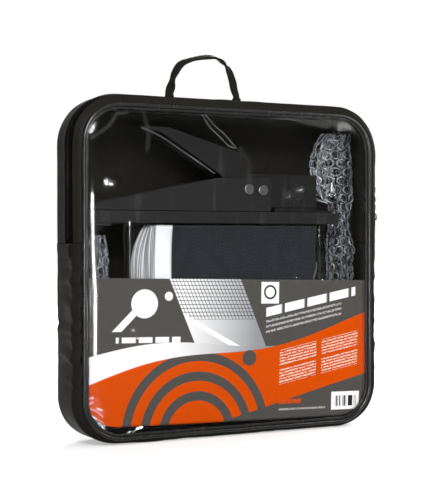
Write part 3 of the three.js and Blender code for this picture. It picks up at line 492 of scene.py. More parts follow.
class Effects:
    """The effects that several finishes share, each built once."""

    def __init__(self) -> None:
        """Builds every effect."""
        self.weave = self._weave()
        self.tone = self._tone()
        self.scuffs = self._scuffs()
        self.kink = self._highlight_line()

    @staticmethod
    def _weave() -> Tree:
        """Plain weave: sin(pi u / pitch) times sin(pi v / pitch), threads over and under, -1 to 1."""
        graph = new_effect("plain_weave", {"Place": ("Vector", None), "Pitch": ("Float", 0.0005)},
                           {"Height": "Float"})
        start, end = graph.tree.nodes["in"], graph.tree.nodes["out"]
        across, along, _ = graph.split(start.outputs["Place"])
        turns = [graph.math("SINE", graph.math("DIVIDE", graph.math("MULTIPLY", way, math.pi),
                                               start.outputs["Pitch"])) for way in (across, along)]
        graph.put(end.inputs["Height"], graph.math("MULTIPLY", *turns))
        return graph.tree

    @staticmethod
    def _tone() -> Tree:
        """A colour that drifts darker and lighter in soft patches: colour * (1 + spread * (noise - 0.5))."""
        graph = new_effect("tone_drift", {"Place": ("Vector", None), "Colour": ("Color", None),
                                          "Patches": ("Float", 30.0), "Spread": ("Float", 0.3)},
                           {"Colour": "Color"})
        start, end = graph.tree.nodes["in"], graph.tree.nodes["out"]
        noise = graph.noise(start.outputs["Place"], start.outputs["Patches"], 4.0)
        drift = graph.math("SUBTRACT", noise, 0.5)
        share = graph.math("MULTIPLY_ADD", drift, start.outputs["Spread"], 1.0)
        graph.put(end.inputs["Colour"], graph.scaled(start.outputs["Colour"], share))
        return graph.tree

    @staticmethod
    def _scuffs() -> Tree:
        """Fine handling scratches, 0 to 1: noise drawn out along one way, cut to its thin crests."""
        graph = new_effect("scuffs", {"Place": ("Vector", None), "Fineness": ("Float", 300.0),
                                      "Amount": ("Float", 0.5)}, {"Mask": "Float"})
        start, end = graph.tree.nodes["in"], graph.tree.nodes["out"]
        drawn = graph.vector("MULTIPLY", start.outputs["Place"], (1.0, 1.0, 0.12))
        crest = graph.remap(graph.noise(drawn, start.outputs["Fineness"], 5.0), 0.58, 0.72, 0.0, 1.0)
        graph.put(end.inputs["Mask"], graph.math("MULTIPLY", crest, start.outputs["Amount"]))
        return graph.tree

    @staticmethod
    def _highlight_line() -> Tree:
        """A soft line from one place to another, for the film's painted highlight lines: 1 on it, 0 at its
        reach.

        The distance is |p - a - h (b - a)| with h = (p - a).(b - a) / |b - a|^2 held between 0 and 1.
        """
        graph = new_effect("kink", {"Place": ("Vector", None), "Start": ("Vector", None),
                                    "Span": ("Vector", None), "Reach": ("Float", 0.0005),
                                    "Amount": ("Float", 0.2)}, {"Mask": "Float"})
        start, end = graph.tree.nodes["in"], graph.tree.nodes["out"]
        span = start.outputs["Span"]
        off = graph.vector("SUBTRACT", start.outputs["Place"], start.outputs["Start"])
        share = graph.math("DIVIDE", graph.measure("DOT_PRODUCT", off, span),
                           graph.measure("DOT_PRODUCT", span, span))
        share.node.use_clamp = True
        reach = graph.measure("DISTANCE", off, graph.scaled(span, share))
        fade = graph.math("SUBTRACT", 1.0, graph.math("DIVIDE", reach, start.outputs["Reach"]))
        fade.node.use_clamp = True
        graph.put(end.inputs["Mask"], graph.math("MULTIPLY", fade, start.outputs["Amount"]))
        return graph.tree


EFFECTS = Effects()


@dataclass(frozen=True)
class Finish:
    """What every finish has: its name, its colour as seen, and how rough it is."""

    name: str
    colour: Colour
    roughness: float

    def material(self) -> Material:
        """The finish as a material, built on first use."""
        label = f"{self.name}_finish"
        found = bpy.data.materials.get(label)
        if found is None:
            found = bpy.data.materials.new(label)
            found.use_nodes = True
            shader = found.node_tree.nodes["Principled BSDF"]
            shader.inputs["Roughness"].default_value = self.roughness
            self.dress(Graph(found.node_tree), shader)
        return found

    def dress(self, graph: Graph, shader: Node) -> None:
        """Links the finish's pattern into its shader."""
        graph.feed(shader, Base_Color=(*self.colour, 1.0))

    def drifting(self, graph: Graph, patches: float, spread: float) -> Socket:
        """The finish's colour, drifting in soft patches."""
        return graph.shared(EFFECTS.tone, Place=graph.placed(), Colour=(*self.colour, 1.0), Patches=patches,
                            Spread=spread).outputs["Colour"]

    @staticmethod
    def scuffed(graph: Graph, fineness: float, amount: float) -> Socket:
        """The mask of fine handling scratches."""
        return graph.shared(EFFECTS.scuffs, Place=graph.placed(), Fineness=fineness,
                            Amount=amount).outputs["Mask"]


@dataclass(frozen=True)
class WovenFabric(Finish):
    """Coated woven cloth: a fine weave, soft patches of tone and a low sheen."""

    pitch: float = 0.45 * MM
    relief: float = 0.03 * MM
    sheen: float = 0.02
    gloss: float = 0.10
    follows_uv: bool = True

    def dress(self, graph: Graph, shader: Node) -> None:
        """Weave into the normal and roughness, tone into the colour."""
        place = graph.placed()
        weave = graph.shared(EFFECTS.weave, Place=graph.woven() if self.follows_uv else place,
                             Pitch=self.pitch).outputs["Height"]
        cloud = graph.noise(place, 60.0, 3.0)
        puckers = graph.bump(graph.noise(place, 110.0), 0.3 * MM, 0.6)
        graph.feed(shader, Base_Color=self.drifting(graph, 22.0, 0.45),
                   Roughness=graph.math("MULTIPLY_ADD", cloud, 0.16, self.roughness - 0.08),
                   Normal=graph.bump(weave, self.relief, 0.6, puckers), Sheen_Weight=self.sheen,
                   Sheen_Roughness=0.4, Specular_IOR_Level=self.gloss)


@dataclass(frozen=True)
class SewnTape(WovenFabric):
    """White cotton tape with painted shade: greyer towards the deeper turns of the fold, and darker in a band
    at its outer edge, for the shadow lines between the fanned layers.
    """

    # Width of the painted shade band at the outer edge.
    edge: float = 0.9 * MM

    def dress(self, graph: Graph, shader: Node) -> None:
        """Multiplies the cloth's colour by painted shade: darker along the length, towards the deeper layers,
        and at the outer edge.
        """
        super().dress(graph, shader)
        cloth = shader.inputs["Base Color"].links[0].from_socket
        along, across, _ = graph.split(graph.woven())
        # Painted shade: deeper layers greyer, and a dark band at the outer edge for the shadows between layers.
        painted_layer_shade = graph.remap(along, 0.12, 1.6, 1.0, 0.8)
        painted_edge_shade = graph.remap(across, 0.3 * self.edge, 1.4 * self.edge, 0.35, 1.0)
        graph.feed(shader, Base_Color=graph.scaled(cloth, graph.math("MULTIPLY", painted_layer_shade, painted_edge_shade)))


@dataclass(frozen=True)
class GlossTrim(Finish):
    """Glossy soft vinyl with a faint orange-peel surface and light scuffs."""

    ripple: float = 0.08 * MM

    def dress(self, graph: Graph, shader: Node) -> None:
        """Ripple into the normal, scuffs into the roughness."""
        graph.feed(shader, Base_Color=self.drifting(graph, 40.0, 0.35), Specular_IOR_Level=0.2,
                   Roughness=graph.math("ADD", self.scuffed(graph, 260.0, 0.25), self.roughness),
                   Normal=graph.bump(graph.noise(graph.placed(), 420.0), self.ripple, 0.7))


@dataclass(frozen=True)
class ClearFilm(Finish):
    """Thin clear film: it mirrors by Fresnel and lets the rest straight through.

    The shader is a white mirror whose alpha is the film's own reflectance, so a thin sheet neither bends
    nor dims what is behind it.
    """

    film_index: float = 1.35
    ripple: float = 0.12 * MM
    ripple_scale: float = 90.0

    def dress(self, graph: Graph, shader: Node) -> None:
        """Reflectance and scuffs into the alpha, ripple into the normal."""
        ripple = graph.bump(graph.noise(graph.placed(), self.ripple_scale, 1.0), self.ripple)
        scuffs = self.scuffed(graph, 420.0, 0.05)
        mirror = graph.feed(graph.add("ShaderNodeFresnel"), IOR=self.film_index, Normal=ripple)
        graph.feed(shader, Base_Color=(*self.colour, 1.0), Metallic=1.0, Normal=ripple,
                   Roughness=graph.math("ADD", scuffs, self.roughness),
                   Alpha=graph.math("MULTIPLY_ADD", scuffs, 0.04, mirror.outputs[0]))


@dataclass(frozen=True)
class HighlightLineFilm(ClearFilm):
    """Clear film with taut parts, which mirror less than its bent ones, and white lines along its kinks that
    paint their highlights.
    """

    taut_share: float = 0.2

    def dress(self, graph: Graph, shader: Node) -> None:
        """Lowers the clear film's cover where it faces straight ahead, and adds the painted highlight lines."""
        super().dress(graph, shader)
        flat = graph.vector("MULTIPLY", graph.placed(), (1.0, 0.0, 1.0))
        facing = graph.math("ABSOLUTE", graph.split(graph.add("ShaderNodeTexCoord").outputs["Normal"])[1])
        taut = graph.remap(facing, 0.990, 0.9985, 1.0, self.taut_share)
        cover = graph.math("MULTIPLY", shader.inputs["Alpha"].links[0].from_socket, taut)
        # Painted highlights: white lines along the film's kinks, raising its cover.
        for amount, reach, places in FILM_HIGHLIGHT_LINES:
            for (x, z), (next_x, next_z) in zip(places, places[1:]):
                span = ((next_x - x) * MM, 0.0, (next_z - z) * MM)
                line = graph.shared(EFFECTS.kink, Place=flat, Start=(x * MM, 0.0, z * MM), Span=span,
                                    Reach=reach * MM, Amount=amount)
                cover = graph.math("MAXIMUM", cover, line.outputs["Mask"])
        graph.feed(shader, Alpha=cover)


# Painted highlights: white lines along the film's kinks, in its cover: cover, reach in millimetres, and places
# as (X, Z) in millimetres.
FILM_HIGHLIGHT_LINES = (
    (0.18, 0.65, ((-85.8, 249.5), (-76.5, 246.2), (-67.5, 242.5), (-45.0, 229.0), (-21.7, 215.0))),
    (0.18, 0.7, ((-32.5, 262.5), (-27.5, 253.5), (-18.5, 246.0), (-9.0, 237.5), (-2.5, 236.0))),
    (0.16, 0.7, ((-29.5, 262.5), (-22.5, 254.5), (-12.0, 246.5), (-2.5, 236.5))),
    (0.045, 2.2, ((-127.8, 239.5), (-113.0, 250.3), (-106.5, 260.0), (-98.0, 260.4))),
    (0.03, 3.0, ((-84.0, 262.0), (-80.0, 246.0), (-81.0, 232.0))),
    (0.018, 5.0, ((2.0, 235.0), (10.0, 222.0), (10.0, 210.0))),
    (0.30, 0.8, ((-129.0, 30.5), (-123.5, 28.0), (-119.0, 23.5))),
    (0.45, 0.9, ((-125.5, 14.5), (-123.0, 17.0), (-119.5, 17.0), (-117.0, 13.5))),
    (0.45, 0.9, ((-98.0, 9.0), (-94.5, 8.0), (-91.5, 11.0), (-86.0, 13.0))),
    (0.35, 0.9, ((-130.0, 33.5), (-127.0, 35.5))), (0.30, 0.9, ((-129.5, 23.0), (-126.0, 20.5))),
    (0.12, 0.9, ((72.0, 128.0), (74.0, 134.0), (75.0, 142.0))),
)


@dataclass(frozen=True)
class BubbleFilm(ClearFilm):
    """Bubble wrap's film: clear, with painted highlights: a whitish ring at each bubble's edge and fine whitish
    specks, which stand in for the glints there.
    """

    pitch: float = 8.8 * MM
    row_pitch: float = 7.6 * MM
    radius: float = 3.4 * MM

    def dress(self, graph: Graph, shader: Node) -> None:
        """Adds painted highlights to the clear film's cover: a ring at the bubble's radius from the nearest
        place of a staggered grid, and fine specks.
        """
        super().dress(graph, shader)
        across, along, _ = graph.split(graph.woven())
        row = graph.math("ROUND", graph.math("DIVIDE", along, self.row_pitch))
        off_along = graph.math("MULTIPLY_ADD", row, -self.row_pitch, along)
        odd = graph.math("MODULO", graph.math("ABSOLUTE", row), 2.0)
        moved = graph.math("MULTIPLY_ADD", odd, 0.5, graph.math("DIVIDE", across, self.pitch))
        off = graph.math("MULTIPLY", graph.math("SUBTRACT", moved, graph.math("ROUND", moved)), self.pitch)
        reach = graph.math("SQRT", graph.math("MULTIPLY_ADD", off, off,
                                              graph.math("MULTIPLY", off_along, off_along)))
        rim = graph.math("ABSOLUTE", graph.math("SUBTRACT", reach, self.radius))
        # Painted highlights: whitish rings at the bubbles' edges and fine specks stand in for their glints.
        ring = graph.remap(rim, 0.2 * MM, 0.6 * MM, 0.26, 0.0)
        patchy = graph.remap(graph.noise(graph.placed(), 130.0), 0.38, 0.62, 0.15, 1.0)
        crinkle = graph.remap(graph.noise(graph.placed(), 420.0, 3.0, 0.6), 0.58, 0.70, 0.0, 0.20)
        painted_glints = graph.math("ADD", graph.math("MULTIPLY", ring, patchy), crinkle)
        cover = graph.math("ADD", shader.inputs["Alpha"].links[0].from_socket, painted_glints)
        graph.feed(shader, Alpha=cover, Metallic=graph.remap(painted_glints, 0.0, 0.05, 1.0, 0.0))


@dataclass(frozen=True)
class PowderCoat(Finish):
    """Black powder coat on sheet steel: a fine pebbled skin with a few rubbed patches."""

    pebble: float = 0.02 * MM
    gloss: float = 0.12

    def dress(self, graph: Graph, shader: Node) -> None:
        """Pebbles into the normal, rubbing into colour and roughness."""
        rub = self.scuffed(graph, 140.0, 1.0)
        lighter = tuple(min(1.0, 1.8 * part + 0.01) for part in self.colour)
        graph.feed(shader, Base_Color=graph.mix(rub, self.drifting(graph, 35.0, 0.4), lighter),
                   Roughness=graph.math("MULTIPLY_ADD", rub, -0.08, self.roughness),
                   Normal=graph.bump(graph.noise(graph.placed(), 1400.0, 1.0), self.pebble, 0.6),
                   Specular_IOR_Level=self.gloss)


@dataclass(frozen=True)
class BrightMetal(Finish):
    """Plated or drawn steel with fine turning marks and a little tarnish."""

    marks: float = 0.02 * MM

    def dress(self, graph: Graph, shader: Node) -> None:
        """Marks into the normal, tarnish into colour and roughness."""
        place = graph.placed()
        tarnish = graph.noise(place, 220.0, 4.0, 0.6)
        darker = tuple(0.55 * part for part in self.colour)
        share = graph.remap(tarnish, 0.5, 0.8, 0.0, 0.7)
        graph.feed(shader, Base_Color=graph.mix(share, self.colour, darker), Metallic=1.0,
                   Roughness=graph.math("MULTIPLY_ADD", tarnish, 0.2, self.roughness - 0.1),
                   Normal=graph.bump(graph.noise(place, 2600.0), self.marks, 0.5))


@dataclass(frozen=True)
class NetCord(Finish):
    """Dark twisted net cord: fine twist lines and a soft, dusty nap."""

    def dress(self, graph: Graph, shader: Node) -> None:
        """Thread twist into the normal, dust into the colour."""
        fine = graph.shared(EFFECTS.weave, Place=graph.woven(), Pitch=0.3 * MM).outputs["Height"]
        graph.feed(shader, Base_Color=self.drifting(graph, 120.0, 0.7), Sheen_Weight=0.08,
                   Specular_IOR_Level=0.05, Normal=graph.bump(fine, 0.08 * MM, 0.8))


SATIN_FABRIC = WovenFabric("satin_fabric", (0.0145, 0.0138, 0.0118), 0.36, gloss=0.008, sheen=0.0)
ZIP_TAPE = WovenFabric("zip_tape", (0.0035, 0.0035, 0.0035), 0.8, pitch=0.6 * MM, relief=0.1 * MM,
                       gloss=0.003, sheen=0.0)
GLOSS_TRIM = GlossTrim("gloss_trim", (0.008, 0.008, 0.0075), 0.22)
WINDOW_FILM = HighlightLineFilm("clear_film", (1.0, 1.0, 1.0), 0.05, film_index=1.165, ripple=0.012 * MM)
POUCH_FILM = ClearFilm("pouch_film", (1.0, 1.0, 1.0), 0.12, film_index=1.12, ripple=0.15 * MM)
BUBBLE_FILM = BubbleFilm("bubble_film", (0.90, 0.93, 1.0), 0.14, film_index=1.09, ripple=0.25 * MM,
                         ripple_scale=300.0)
BLACK_PAINT = PowderCoat("black_paint", (0.0138, 0.0138, 0.0143), 0.40, gloss=0.05)
BLACK_PLASTIC = PowderCoat("black_plastic", (0.012, 0.012, 0.012), 0.38)
PAD_RUBBER = PowderCoat("pad_rubber", (0.014, 0.014, 0.014), 0.75, pebble=0.06 * MM, gloss=0.05)
BRIGHT_STEEL = BrightMetal("bright_steel", (0.60, 0.60, 0.61), 0.22)
ZIP_METAL = BrightMetal("zip_metal", (0.22, 0.22, 0.22), 0.30)
DARK_STEEL = BrightMetal("dark_steel", (0.055, 0.055, 0.055), 0.34)
ZIP_COIL = PowderCoat("zip_coil", (0.006, 0.006, 0.006), 0.7, gloss=0.02)
LEVER_PAINT = PowderCoat("lever_paint", (0.0112, 0.0112, 0.0114), 0.38, gloss=0.04)
NET_CORD = NetCord("net_cord", (0.027, 0.029, 0.036), 0.8)
WHITE_TAPE = SewnTape("white_tape", (0.74, 0.75, 0.77), 0.8, pitch=0.5 * MM, relief=0.08 * MM)
BLACK_THREAD = WovenFabric("black_thread", (0.012, 0.012, 0.012), 0.6, pitch=0.2 * MM, follows_uv=False)


# ---------------------------------------------------------------- the soft case
@dataclass
class SoftCase:
    """The zipped case: two gusset halves, piping, seam border, film window and back panel."""

    width: float = 262.5 * MM
    height: float = 262 * MM
    corner_radius: float = 31 * MM
    bulge: float = 9.0 * MM              # gusset face outside the piping's line
    base_bulge: float = 5.1 * MM         # the same underneath
    seam_round: float = 6 * MM
    seam_out: float = 1.9 * MM
    fabric_wall: float = 1.1 * MM
    piping_radius: float = 1.65 * MM
    border_inset: float = 1.3 * MM
    border_width: float = 2.6 * MM
    hem_round: float = 3.3 * MM          # depth of the front strip, from the piping to its hem by the zip
    stitch_pitch: float = 3.2 * MM
    stitch: tuple[float, float, float] = (2.1 * MM, 0.45 * MM, 0.4 * MM)
    step: float = 1.6 * MM

    def __post_init__(self) -> None:
        """Takes the places of the seams from the frame."""
        low, high = node_size("back_piping")
        front_low, front_high = node_size("front_piping_lower")
        self.front_y = (front_low[1] + front_high[1]) / 2
        self.back_y = (low[1] + high[1]) / 2
        self.fold_z = node_size("window_upper")[0][2]
        self.outline = Outline((low[0] + high[0]) / 2, (low[2] + high[2]) / 2, self.width / 2,
                               self.height / 2, self.corner_radius)
        self.zip_y = float(np.mean([corner[1] for corner in node_size("zip_slider_upper")]))
        self.tape_front_y = node_size("zip_tape_front")[0][1]
        self.tape_back_y = node_size("zip_tape_back")[1][1]
        self.right_fold = self.outline.side_distance(self.fold_z, right=True)
        self.left_fold = self.outline.side_distance(self.fold_z, right=False)

    def bulge_at(self, normal_z: Array) -> Array:
        """The gusset's reach outside the outline: full, and less where it faces the ground."""
        return self.bulge - (self.bulge - self.base_bulge) * np.maximum(0, -normal_z) ** 2

    def lower_way(self) -> Array:
        """Walked distances of the lower case, from the left fold line down and round to the right one."""
        whole = self.outline.length
        return np.linspace(self.left_fold, whole + self.right_fold, round((whole - self.left_fold
                           + self.right_fold) / self.step))

    def upper_way(self) -> Array:
        """Walked distances of the upper case, from the right fold line up and over to the left one."""
        return np.linspace(self.right_fold, self.left_fold, round((self.left_fold - self.right_fold)
                           / self.step))

    def closed_way(self, step: float) -> Array:
        """Walked distances once round, the last the same as the first."""
        return np.linspace(0, self.outline.length, round(self.outline.length / step) + 1)

    def gusset_section(self, from_y: float, to_y: float, count: int) -> tuple[Array, Array]:
        """Share of the bulge and depth across the gusset between two depths.

        The face is flat in the middle, and turns down to each seam on a quarter ellipse:
        share = sin(angle), depth = middle -+ round * cos(angle).
        """
        start = math.asin(self.seam_out / self.bulge)
        ends = [self.front_y + self.seam_round, self.back_y - self.seam_round]
        stops = [0, 9, 9 + (ends[1] - ends[0]) / MM, 18 + (ends[1] - ends[0]) / MM]
        fine = np.linspace(0, stops[-1], 400)
        angle = np.interp(fine, stops, [start, math.pi / 2, math.pi / 2, math.pi - start])
        depth = np.interp(fine, stops, [ends[0], ends[0], ends[1], ends[1]]) - self.seam_round * np.cos(angle)
        inside = (depth >= from_y - 1e-9) & (depth <= to_y + 1e-9)
        fine, angle, depth = fine[inside], angle[inside], depth[inside]
        places = np.linspace(fine[0], fine[-1], count)
        return np.sin(np.interp(places, fine, angle)), np.interp(places, fine, depth)

    def swept(self, name: str, way: Array, share: Array, depth: Array, finish: Finish,
              lift: Callable[[Array, Array, Array, Array], Array] | None = None,
              wall: float | None = None) -> Piece:
        """A gusset strip: a section carried round the outline and lifted by its wrinkles.

        Args:
            name: The piece's name.
            way: Walked distances.
            share: The section's share of the bulge at each of its points.
            depth: The section's depth at each of its points.
            finish: Its finish.
            lift: Gives how far each point stands out, from its X, depth, Z and place across the strip.
            wall: The fabric's thickness, where it isn't the case's own.

        Returns:
            The strip, its face outwards.
        """
        x, z, _, normal_z = self.outline.at(way)
        out = self.bulge_at(normal_z)[:, None] * share[None, :]
        y = np.broadcast_to(depth, out.shape)
        across = np.broadcast_to(np.linspace(0, 1, len(depth)), out.shape)
        if lift is not None:
            out = out + lift(x[:, None] + 0 * out, y, z[:, None] + 0 * out, across)
        pattern = np.stack(np.broadcast_arrays(way[:, None], y), -1)
        strip = surface(name, self.outline.carried(way, out, y), finish.material(), pattern, flip=True)
        return walled(strip, self.fabric_wall if wall is None else wall)

    def crumple(self, x: Array, y: Array, z: Array, across: Array) -> Array:
        """Wrinkles of the lower gusset: puckers at the seams, soft waves, and pressed folds on the sides."""
        places = np.stack([x, y, z], -1)
        seam = hump(across, 0, 0.16) + hump(across, 1, 0.16)
        lift = 0.3 * MM * waves(places, 42 * MM, 11) + 0.3 * MM * seam * waves(places, 11 * MM, 12)
        side = smooth_step(np.abs(x - self.outline.centre_x), 0.8 * self.width / 2, 0.99 * self.width / 2)
        side = side * np.where(x > self.outline.centre_x, 0.4, 1.0)
        for height, depth, wide, reach in SIDE_FOLDS:
            bent = z - height * MM - 3 * MM * waves(places, 60 * MM, int(height))
            lift = lift + side * depth * MM * hump(bent, 0, wide * MM) * hump(across, 0.12, reach)
        hem = smooth_step(z, self.fold_z - 12 * MM, self.fold_z - 3 * MM)
        return lift * (1 - 0.8 * hem) - 0.3 * MM + 0.5 * MM * hem

    def upper_crumple(self, x: Array, y: Array, z: Array, across: Array) -> Array:
        """Wrinkles of an upper strip: soft waves, with small puckers along the zip and at the corners."""
        places = np.stack([x, y, z], -1)
        seam = hump(across, 0, 0.2) + hump(across, 1, 0.2)
        corner = hump(np.abs(x - self.outline.centre_x), self.width / 2 - 12 * MM, 22 * MM)
        high = smooth_step(z, 0.22, 0.25)
        lift = 0.22 * MM * waves(places, 48 * MM, 21) + 0.22 * MM * seam * waves(places, 14 * MM, 22)
        return lift + 0.25 * MM * corner * high * waves(places, 18 * MM, 23) - 0.25 * MM

    def build_gussets(self) -> None:
        """The lower gusset, the upper back strip and the upper front strip with its rolled edge."""
        share, depth = self.gusset_section(-1, 1, 44)
        lower = self.swept("lower_gusset_fabric", self.lower_way(), share, depth, SATIN_FABRIC, self.crumple)
        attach(lower, CASE_BODY)
        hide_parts("lower_gusset")

        share, depth = self.gusset_section(self.tape_back_y + 0.2 * MM, 1, 28)
        back = self.swept("upper_back_fabric", self.upper_way(), share, depth, SATIN_FABRIC,
                          lambda x, y, z, across: self.upper_crumple(x, y, z, across)
                          + 0.55 * MM * hump(across, 0.02, 0.07))
        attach(back, CASE_BODY)
        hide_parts("upper_gusset_back")

        share, depth = self.gusset_section(-1, self.front_y + self.hem_round, 16)
        front = self.swept("upper_front_fabric", self.upper_way(), share, depth, SATIN_FABRIC,
                           lambda x, y, z, across: self.upper_crumple(x, y, z, across)
                           + 0.75 * MM * hump(across, 0.90, 0.14))
        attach(front, FRONT_BODY)
        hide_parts("upper_gusset_front")
        share, depth = self.gusset_section(self.front_y + self.hem_round - 0.8 * MM,
                                           self.tape_front_y - 0.2 * MM, 12)
        margin = self.swept("zip_tape_margin", self.upper_way(), share, depth, ZIP_TAPE,
                            lambda x, y, z, across: 0 * x - 0.9 * MM, wall=0.6 * MM)
        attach(margin, FRONT_BODY)
        LOG.info("gussets built")

    def ring_tube(self, name: str, y: float, radius: float, finish: Finish, seed: int) -> Piece:
        """Piping: a round cord in its covering, carried round the outline with a slight waver."""
        way = self.closed_way(1.8 * MM)
        x, z, _, _ = self.outline.at(way)
        angle = np.linspace(0, 2 * np.pi, 13)
        places = np.stack([x, 0 * x + y, z], -1)
        waver = 0.12 * MM * waves(places, 15 * MM, seed)
        waver[-1] = waver[0]
        size = radius * (1 + 0.05 * waves(places, 7 * MM, seed + 1))
        size[-1] = size[0]
        out = waver[:, None] + size[:, None] * np.cos(angle)
        depth = y + size[:, None] * np.sin(angle)
        pattern = np.stack(np.broadcast_arrays(way[:, None], angle * radius), -1)
        return surface(name, self.outline.carried(way, out, depth), finish.material(), pattern,
                       close_rows=True, close_columns=True, flip=True)

    def build_piping(self) -> None:
        """Back piping on the case, and front piping."""
        back = self.ring_tube("back_piping_cord", self.back_y, self.piping_radius, GLOSS_TRIM, 31)
        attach(back, CASE_BODY)
        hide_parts("back_piping")
        front = self.ring_tube("front_piping_cord", self.front_y, self.piping_radius, GLOSS_TRIM, 41)
        self.bend_with_front(front)
        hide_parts("front_piping_lower", "front_piping_upper")

    @staticmethod
    def bend_with_front(piece: Piece) -> None:
        """Bakes a front piece's transform into its mesh."""
        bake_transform(piece)

    def build_border(self) -> None:
        """The glossy seam border: a crowned strip from the piping in over the film's edge."""
        way = self.closed_way(1.6 * MM)
        x, z, _, _ = self.outline.at(way)
        across = np.linspace(0, 1, 12)
        inset = self.border_inset + self.border_width * across
        places = np.stack([x, 0 * x, z], -1)
        ripple = waves(places, 17 * MM, 51)
        ripple = ripple + 0.4 * waves(places, 7 * MM, 52)
        ripple[-1] = ripple[0]
        crown = 0.75 * np.sqrt(np.maximum(0, 1 - (2 * across - 1) ** 4))
        depth = self.front_y + 0.35 * MM - MM * crown - 0.12 * MM * ripple[:, None] * np.sin(np.pi * across)
        inward = inset + 0.2 * MM * ripple[:, None] * across
        pattern = np.stack(np.broadcast_arrays(way[:, None], inset), -1)
        border = surface("seam_border", self.outline.carried(way, -inward, depth), GLOSS_TRIM.material(),
                         pattern, close_rows=True)
        walled(border, 0.8 * MM)
        self.bend_with_front(border)
        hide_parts("front_border_lower", "front_border_upper")

    def build_stitches(self) -> None:
        """The stitch line that sews the border to the film."""
        count = round(self.outline.length / self.stitch_pitch)
        line = self.outline.inset(self.border_inset + 0.55 * self.border_width)
        at = np.arange(count) * line.length / count
        along, outwards = line.ways(at)
        corners = small_blocks(line.carried(at, 0, self.front_y - 0.32 * MM)[:, 0], along, outwards,
                               np.array([0.0, -1.0, 0.0]), np.array(self.stitch))
        stitches = many_blocks("border_stitches", corners, BLACK_THREAD.material())
        self.bend_with_front(stitches)
        LOG.info("border built")

    def window_depth(self, x: Array, z: Array) -> Array:
        """How far the film stands in front of its seam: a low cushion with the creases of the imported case."""
        middle_x = self.outline.centre_x
        inside = self.outline.inset(self.border_inset + self.border_width - 1 * MM).edge_distance(x, z)
        places = np.stack([x, 0 * x, z], -1)
        rim = smooth_step(inside, 0, 12 * MM)
        walked = np.linspace(0, 20 * MM, 200)
        slope = np.interp(walked / MM, *EDGE_SLOPE)
        rise = np.concatenate([[0], np.cumsum(slope[:-1]) * (walked[1] - walked[0])])
        on_left = 1 - smooth_step(x - middle_x, -0.12, -0.10)
        waver = np.interp(z / MM, *EDGE_WAVER) * MM
        depth = np.interp(inside - on_left * waver, walked, rise)
        wide_rim = smooth_step(inside, 4 * MM, 30 * MM)
        depth = depth + 0.28 * MM * wide_rim * waves(places, 95 * MM, 61)
        depth = depth + 0.06 * MM * wide_rim * waves(places, 27 * MM, 62)
        depth = depth + 0.20 * MM * wide_rim * np.maximum(0, waves(places, 60 * MM, 63)) ** 2
        for place_x, place_z, wide, height in FILM_DENTS:
            reach = np.hypot(x - middle_x - place_x * MM, z - place_z * MM)
            depth = depth + height * MM * rim * hump(reach, 0, wide * MM)
        for start, end, height, wide in FILM_CREASES:
            (x0, z0), (x1, z1) = start, end
            depth = depth + height * MM * rim * crease(
                x - middle_x, z, (x0 * MM, z0 * MM), (x1 * MM, z1 * MM), wide * MM)
        return self.faceted(x, z, depth)

    def faceted(self, x: Array, z: Array, depth: Array) -> Array:
        """Lays the flat facets into the film: within each, depth = its depth there + slope times offset.

        A facet's slope is the one that mirrors the small lamp to the camera: the normal halves the angle
        between the ways to the two.
        """
        for place_x, place_z, long, wide, degrees in FILM_FACETS:
            off_x, off_z = x - self.outline.centre_x - place_x * MM, z - place_z * MM
            here = np.unravel_index(np.argmin(np.hypot(off_x, off_z)), x.shape)
            place = np.array([x[here], self.front_y - depth[here], z[here]])
            ways = [np.array(end) - place for end in (EYE_PLACE, PANEL_PLACE)]
            normal = sum(way / np.linalg.norm(way) for way in ways)
            turn = math.radians(degrees)
            along = off_x * math.cos(turn) + off_z * math.sin(turn)
            across = off_z * math.cos(turn) - off_x * math.sin(turn)
            share = 1 - smooth_step(np.hypot(along / (long * MM), across / (wide * MM)), 0.8, 1.7)
            flat = depth[here] + (normal[0] * off_x + normal[2] * off_z) / normal[1]
            depth = depth * (1 - share) + flat * share
        return depth

    def build_window(self) -> None:
        """The clear front: a film on a grid, its edge drawn onto the outline under the border."""
        rim = self.outline.inset(self.border_inset + self.border_width - 1.6 * MM)
        x, z, keep = rim.filled(
            graded(rim.centre_x - rim.half_width, rim.centre_x + rim.half_width, -0.131, -0.082),
            graded(rim.centre_z - rim.half_height, rim.centre_z + rim.half_height, 0.008, 0.045))
        y = self.front_y + 0.35 * MM - self.window_depth(x, z)
        film = surface("window_film", np.stack([x, y, z], -1), WINDOW_FILM.material(),
                       np.stack([x, z], -1), keep=keep, flip=True)
        self.bend_with_front(film)
        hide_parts("window_lower", "window_upper")
        LOG.info("window built")

    def build_back(self) -> None:
        """The back panel: woven cloth with a low cushion, pressed creases and its seam turned in."""
        rim = self.outline.inset(1.2 * MM)
        spacing = 2.0 * MM
        x, z, keep = rim.filled(*(
            np.linspace(centre - half, centre + half, round(2 * half / spacing) + 1)
            for centre, half in ((rim.centre_x, rim.half_width), (rim.centre_z, rim.half_height))))
        inside = rim.edge_distance(x, z)
        places = np.stack([x, 0 * x, z], -1)
        swell = smooth_step(inside, 0, 26 * MM)
        lift = 1.1 * MM * swell + 0.8 * MM * swell * waves(places, 70 * MM, 71)
        ridged = 1 - np.abs(waves(places, 45 * MM, 72))
        lift = lift + 0.6 * MM * smooth_step(inside, 0, 6 * MM) * ridged ** 3
        lift = lift + 0.4 * MM * hump(inside, 6 * MM, 7 * MM) * waves(places, 13 * MM, 73)
        y = self.back_y - 0.2 * MM + np.clip(lift, -1.2 * MM, 3.0 * MM)
        panel = surface("back_panel_cloth", np.stack([x, y, z], -1), SATIN_FABRIC.material(),
                        np.stack([x, z], -1), keep=keep)
        walled(panel, self.fabric_wall)
        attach(panel, CASE_BODY)
        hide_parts("back_panel")

    def build(self) -> None:
        """Makes every soft piece of the case."""
        self.build_gussets()
        self.build_piping()
        self.build_border()
        self.build_stitches()
        self.build_window()
        self.build_back()


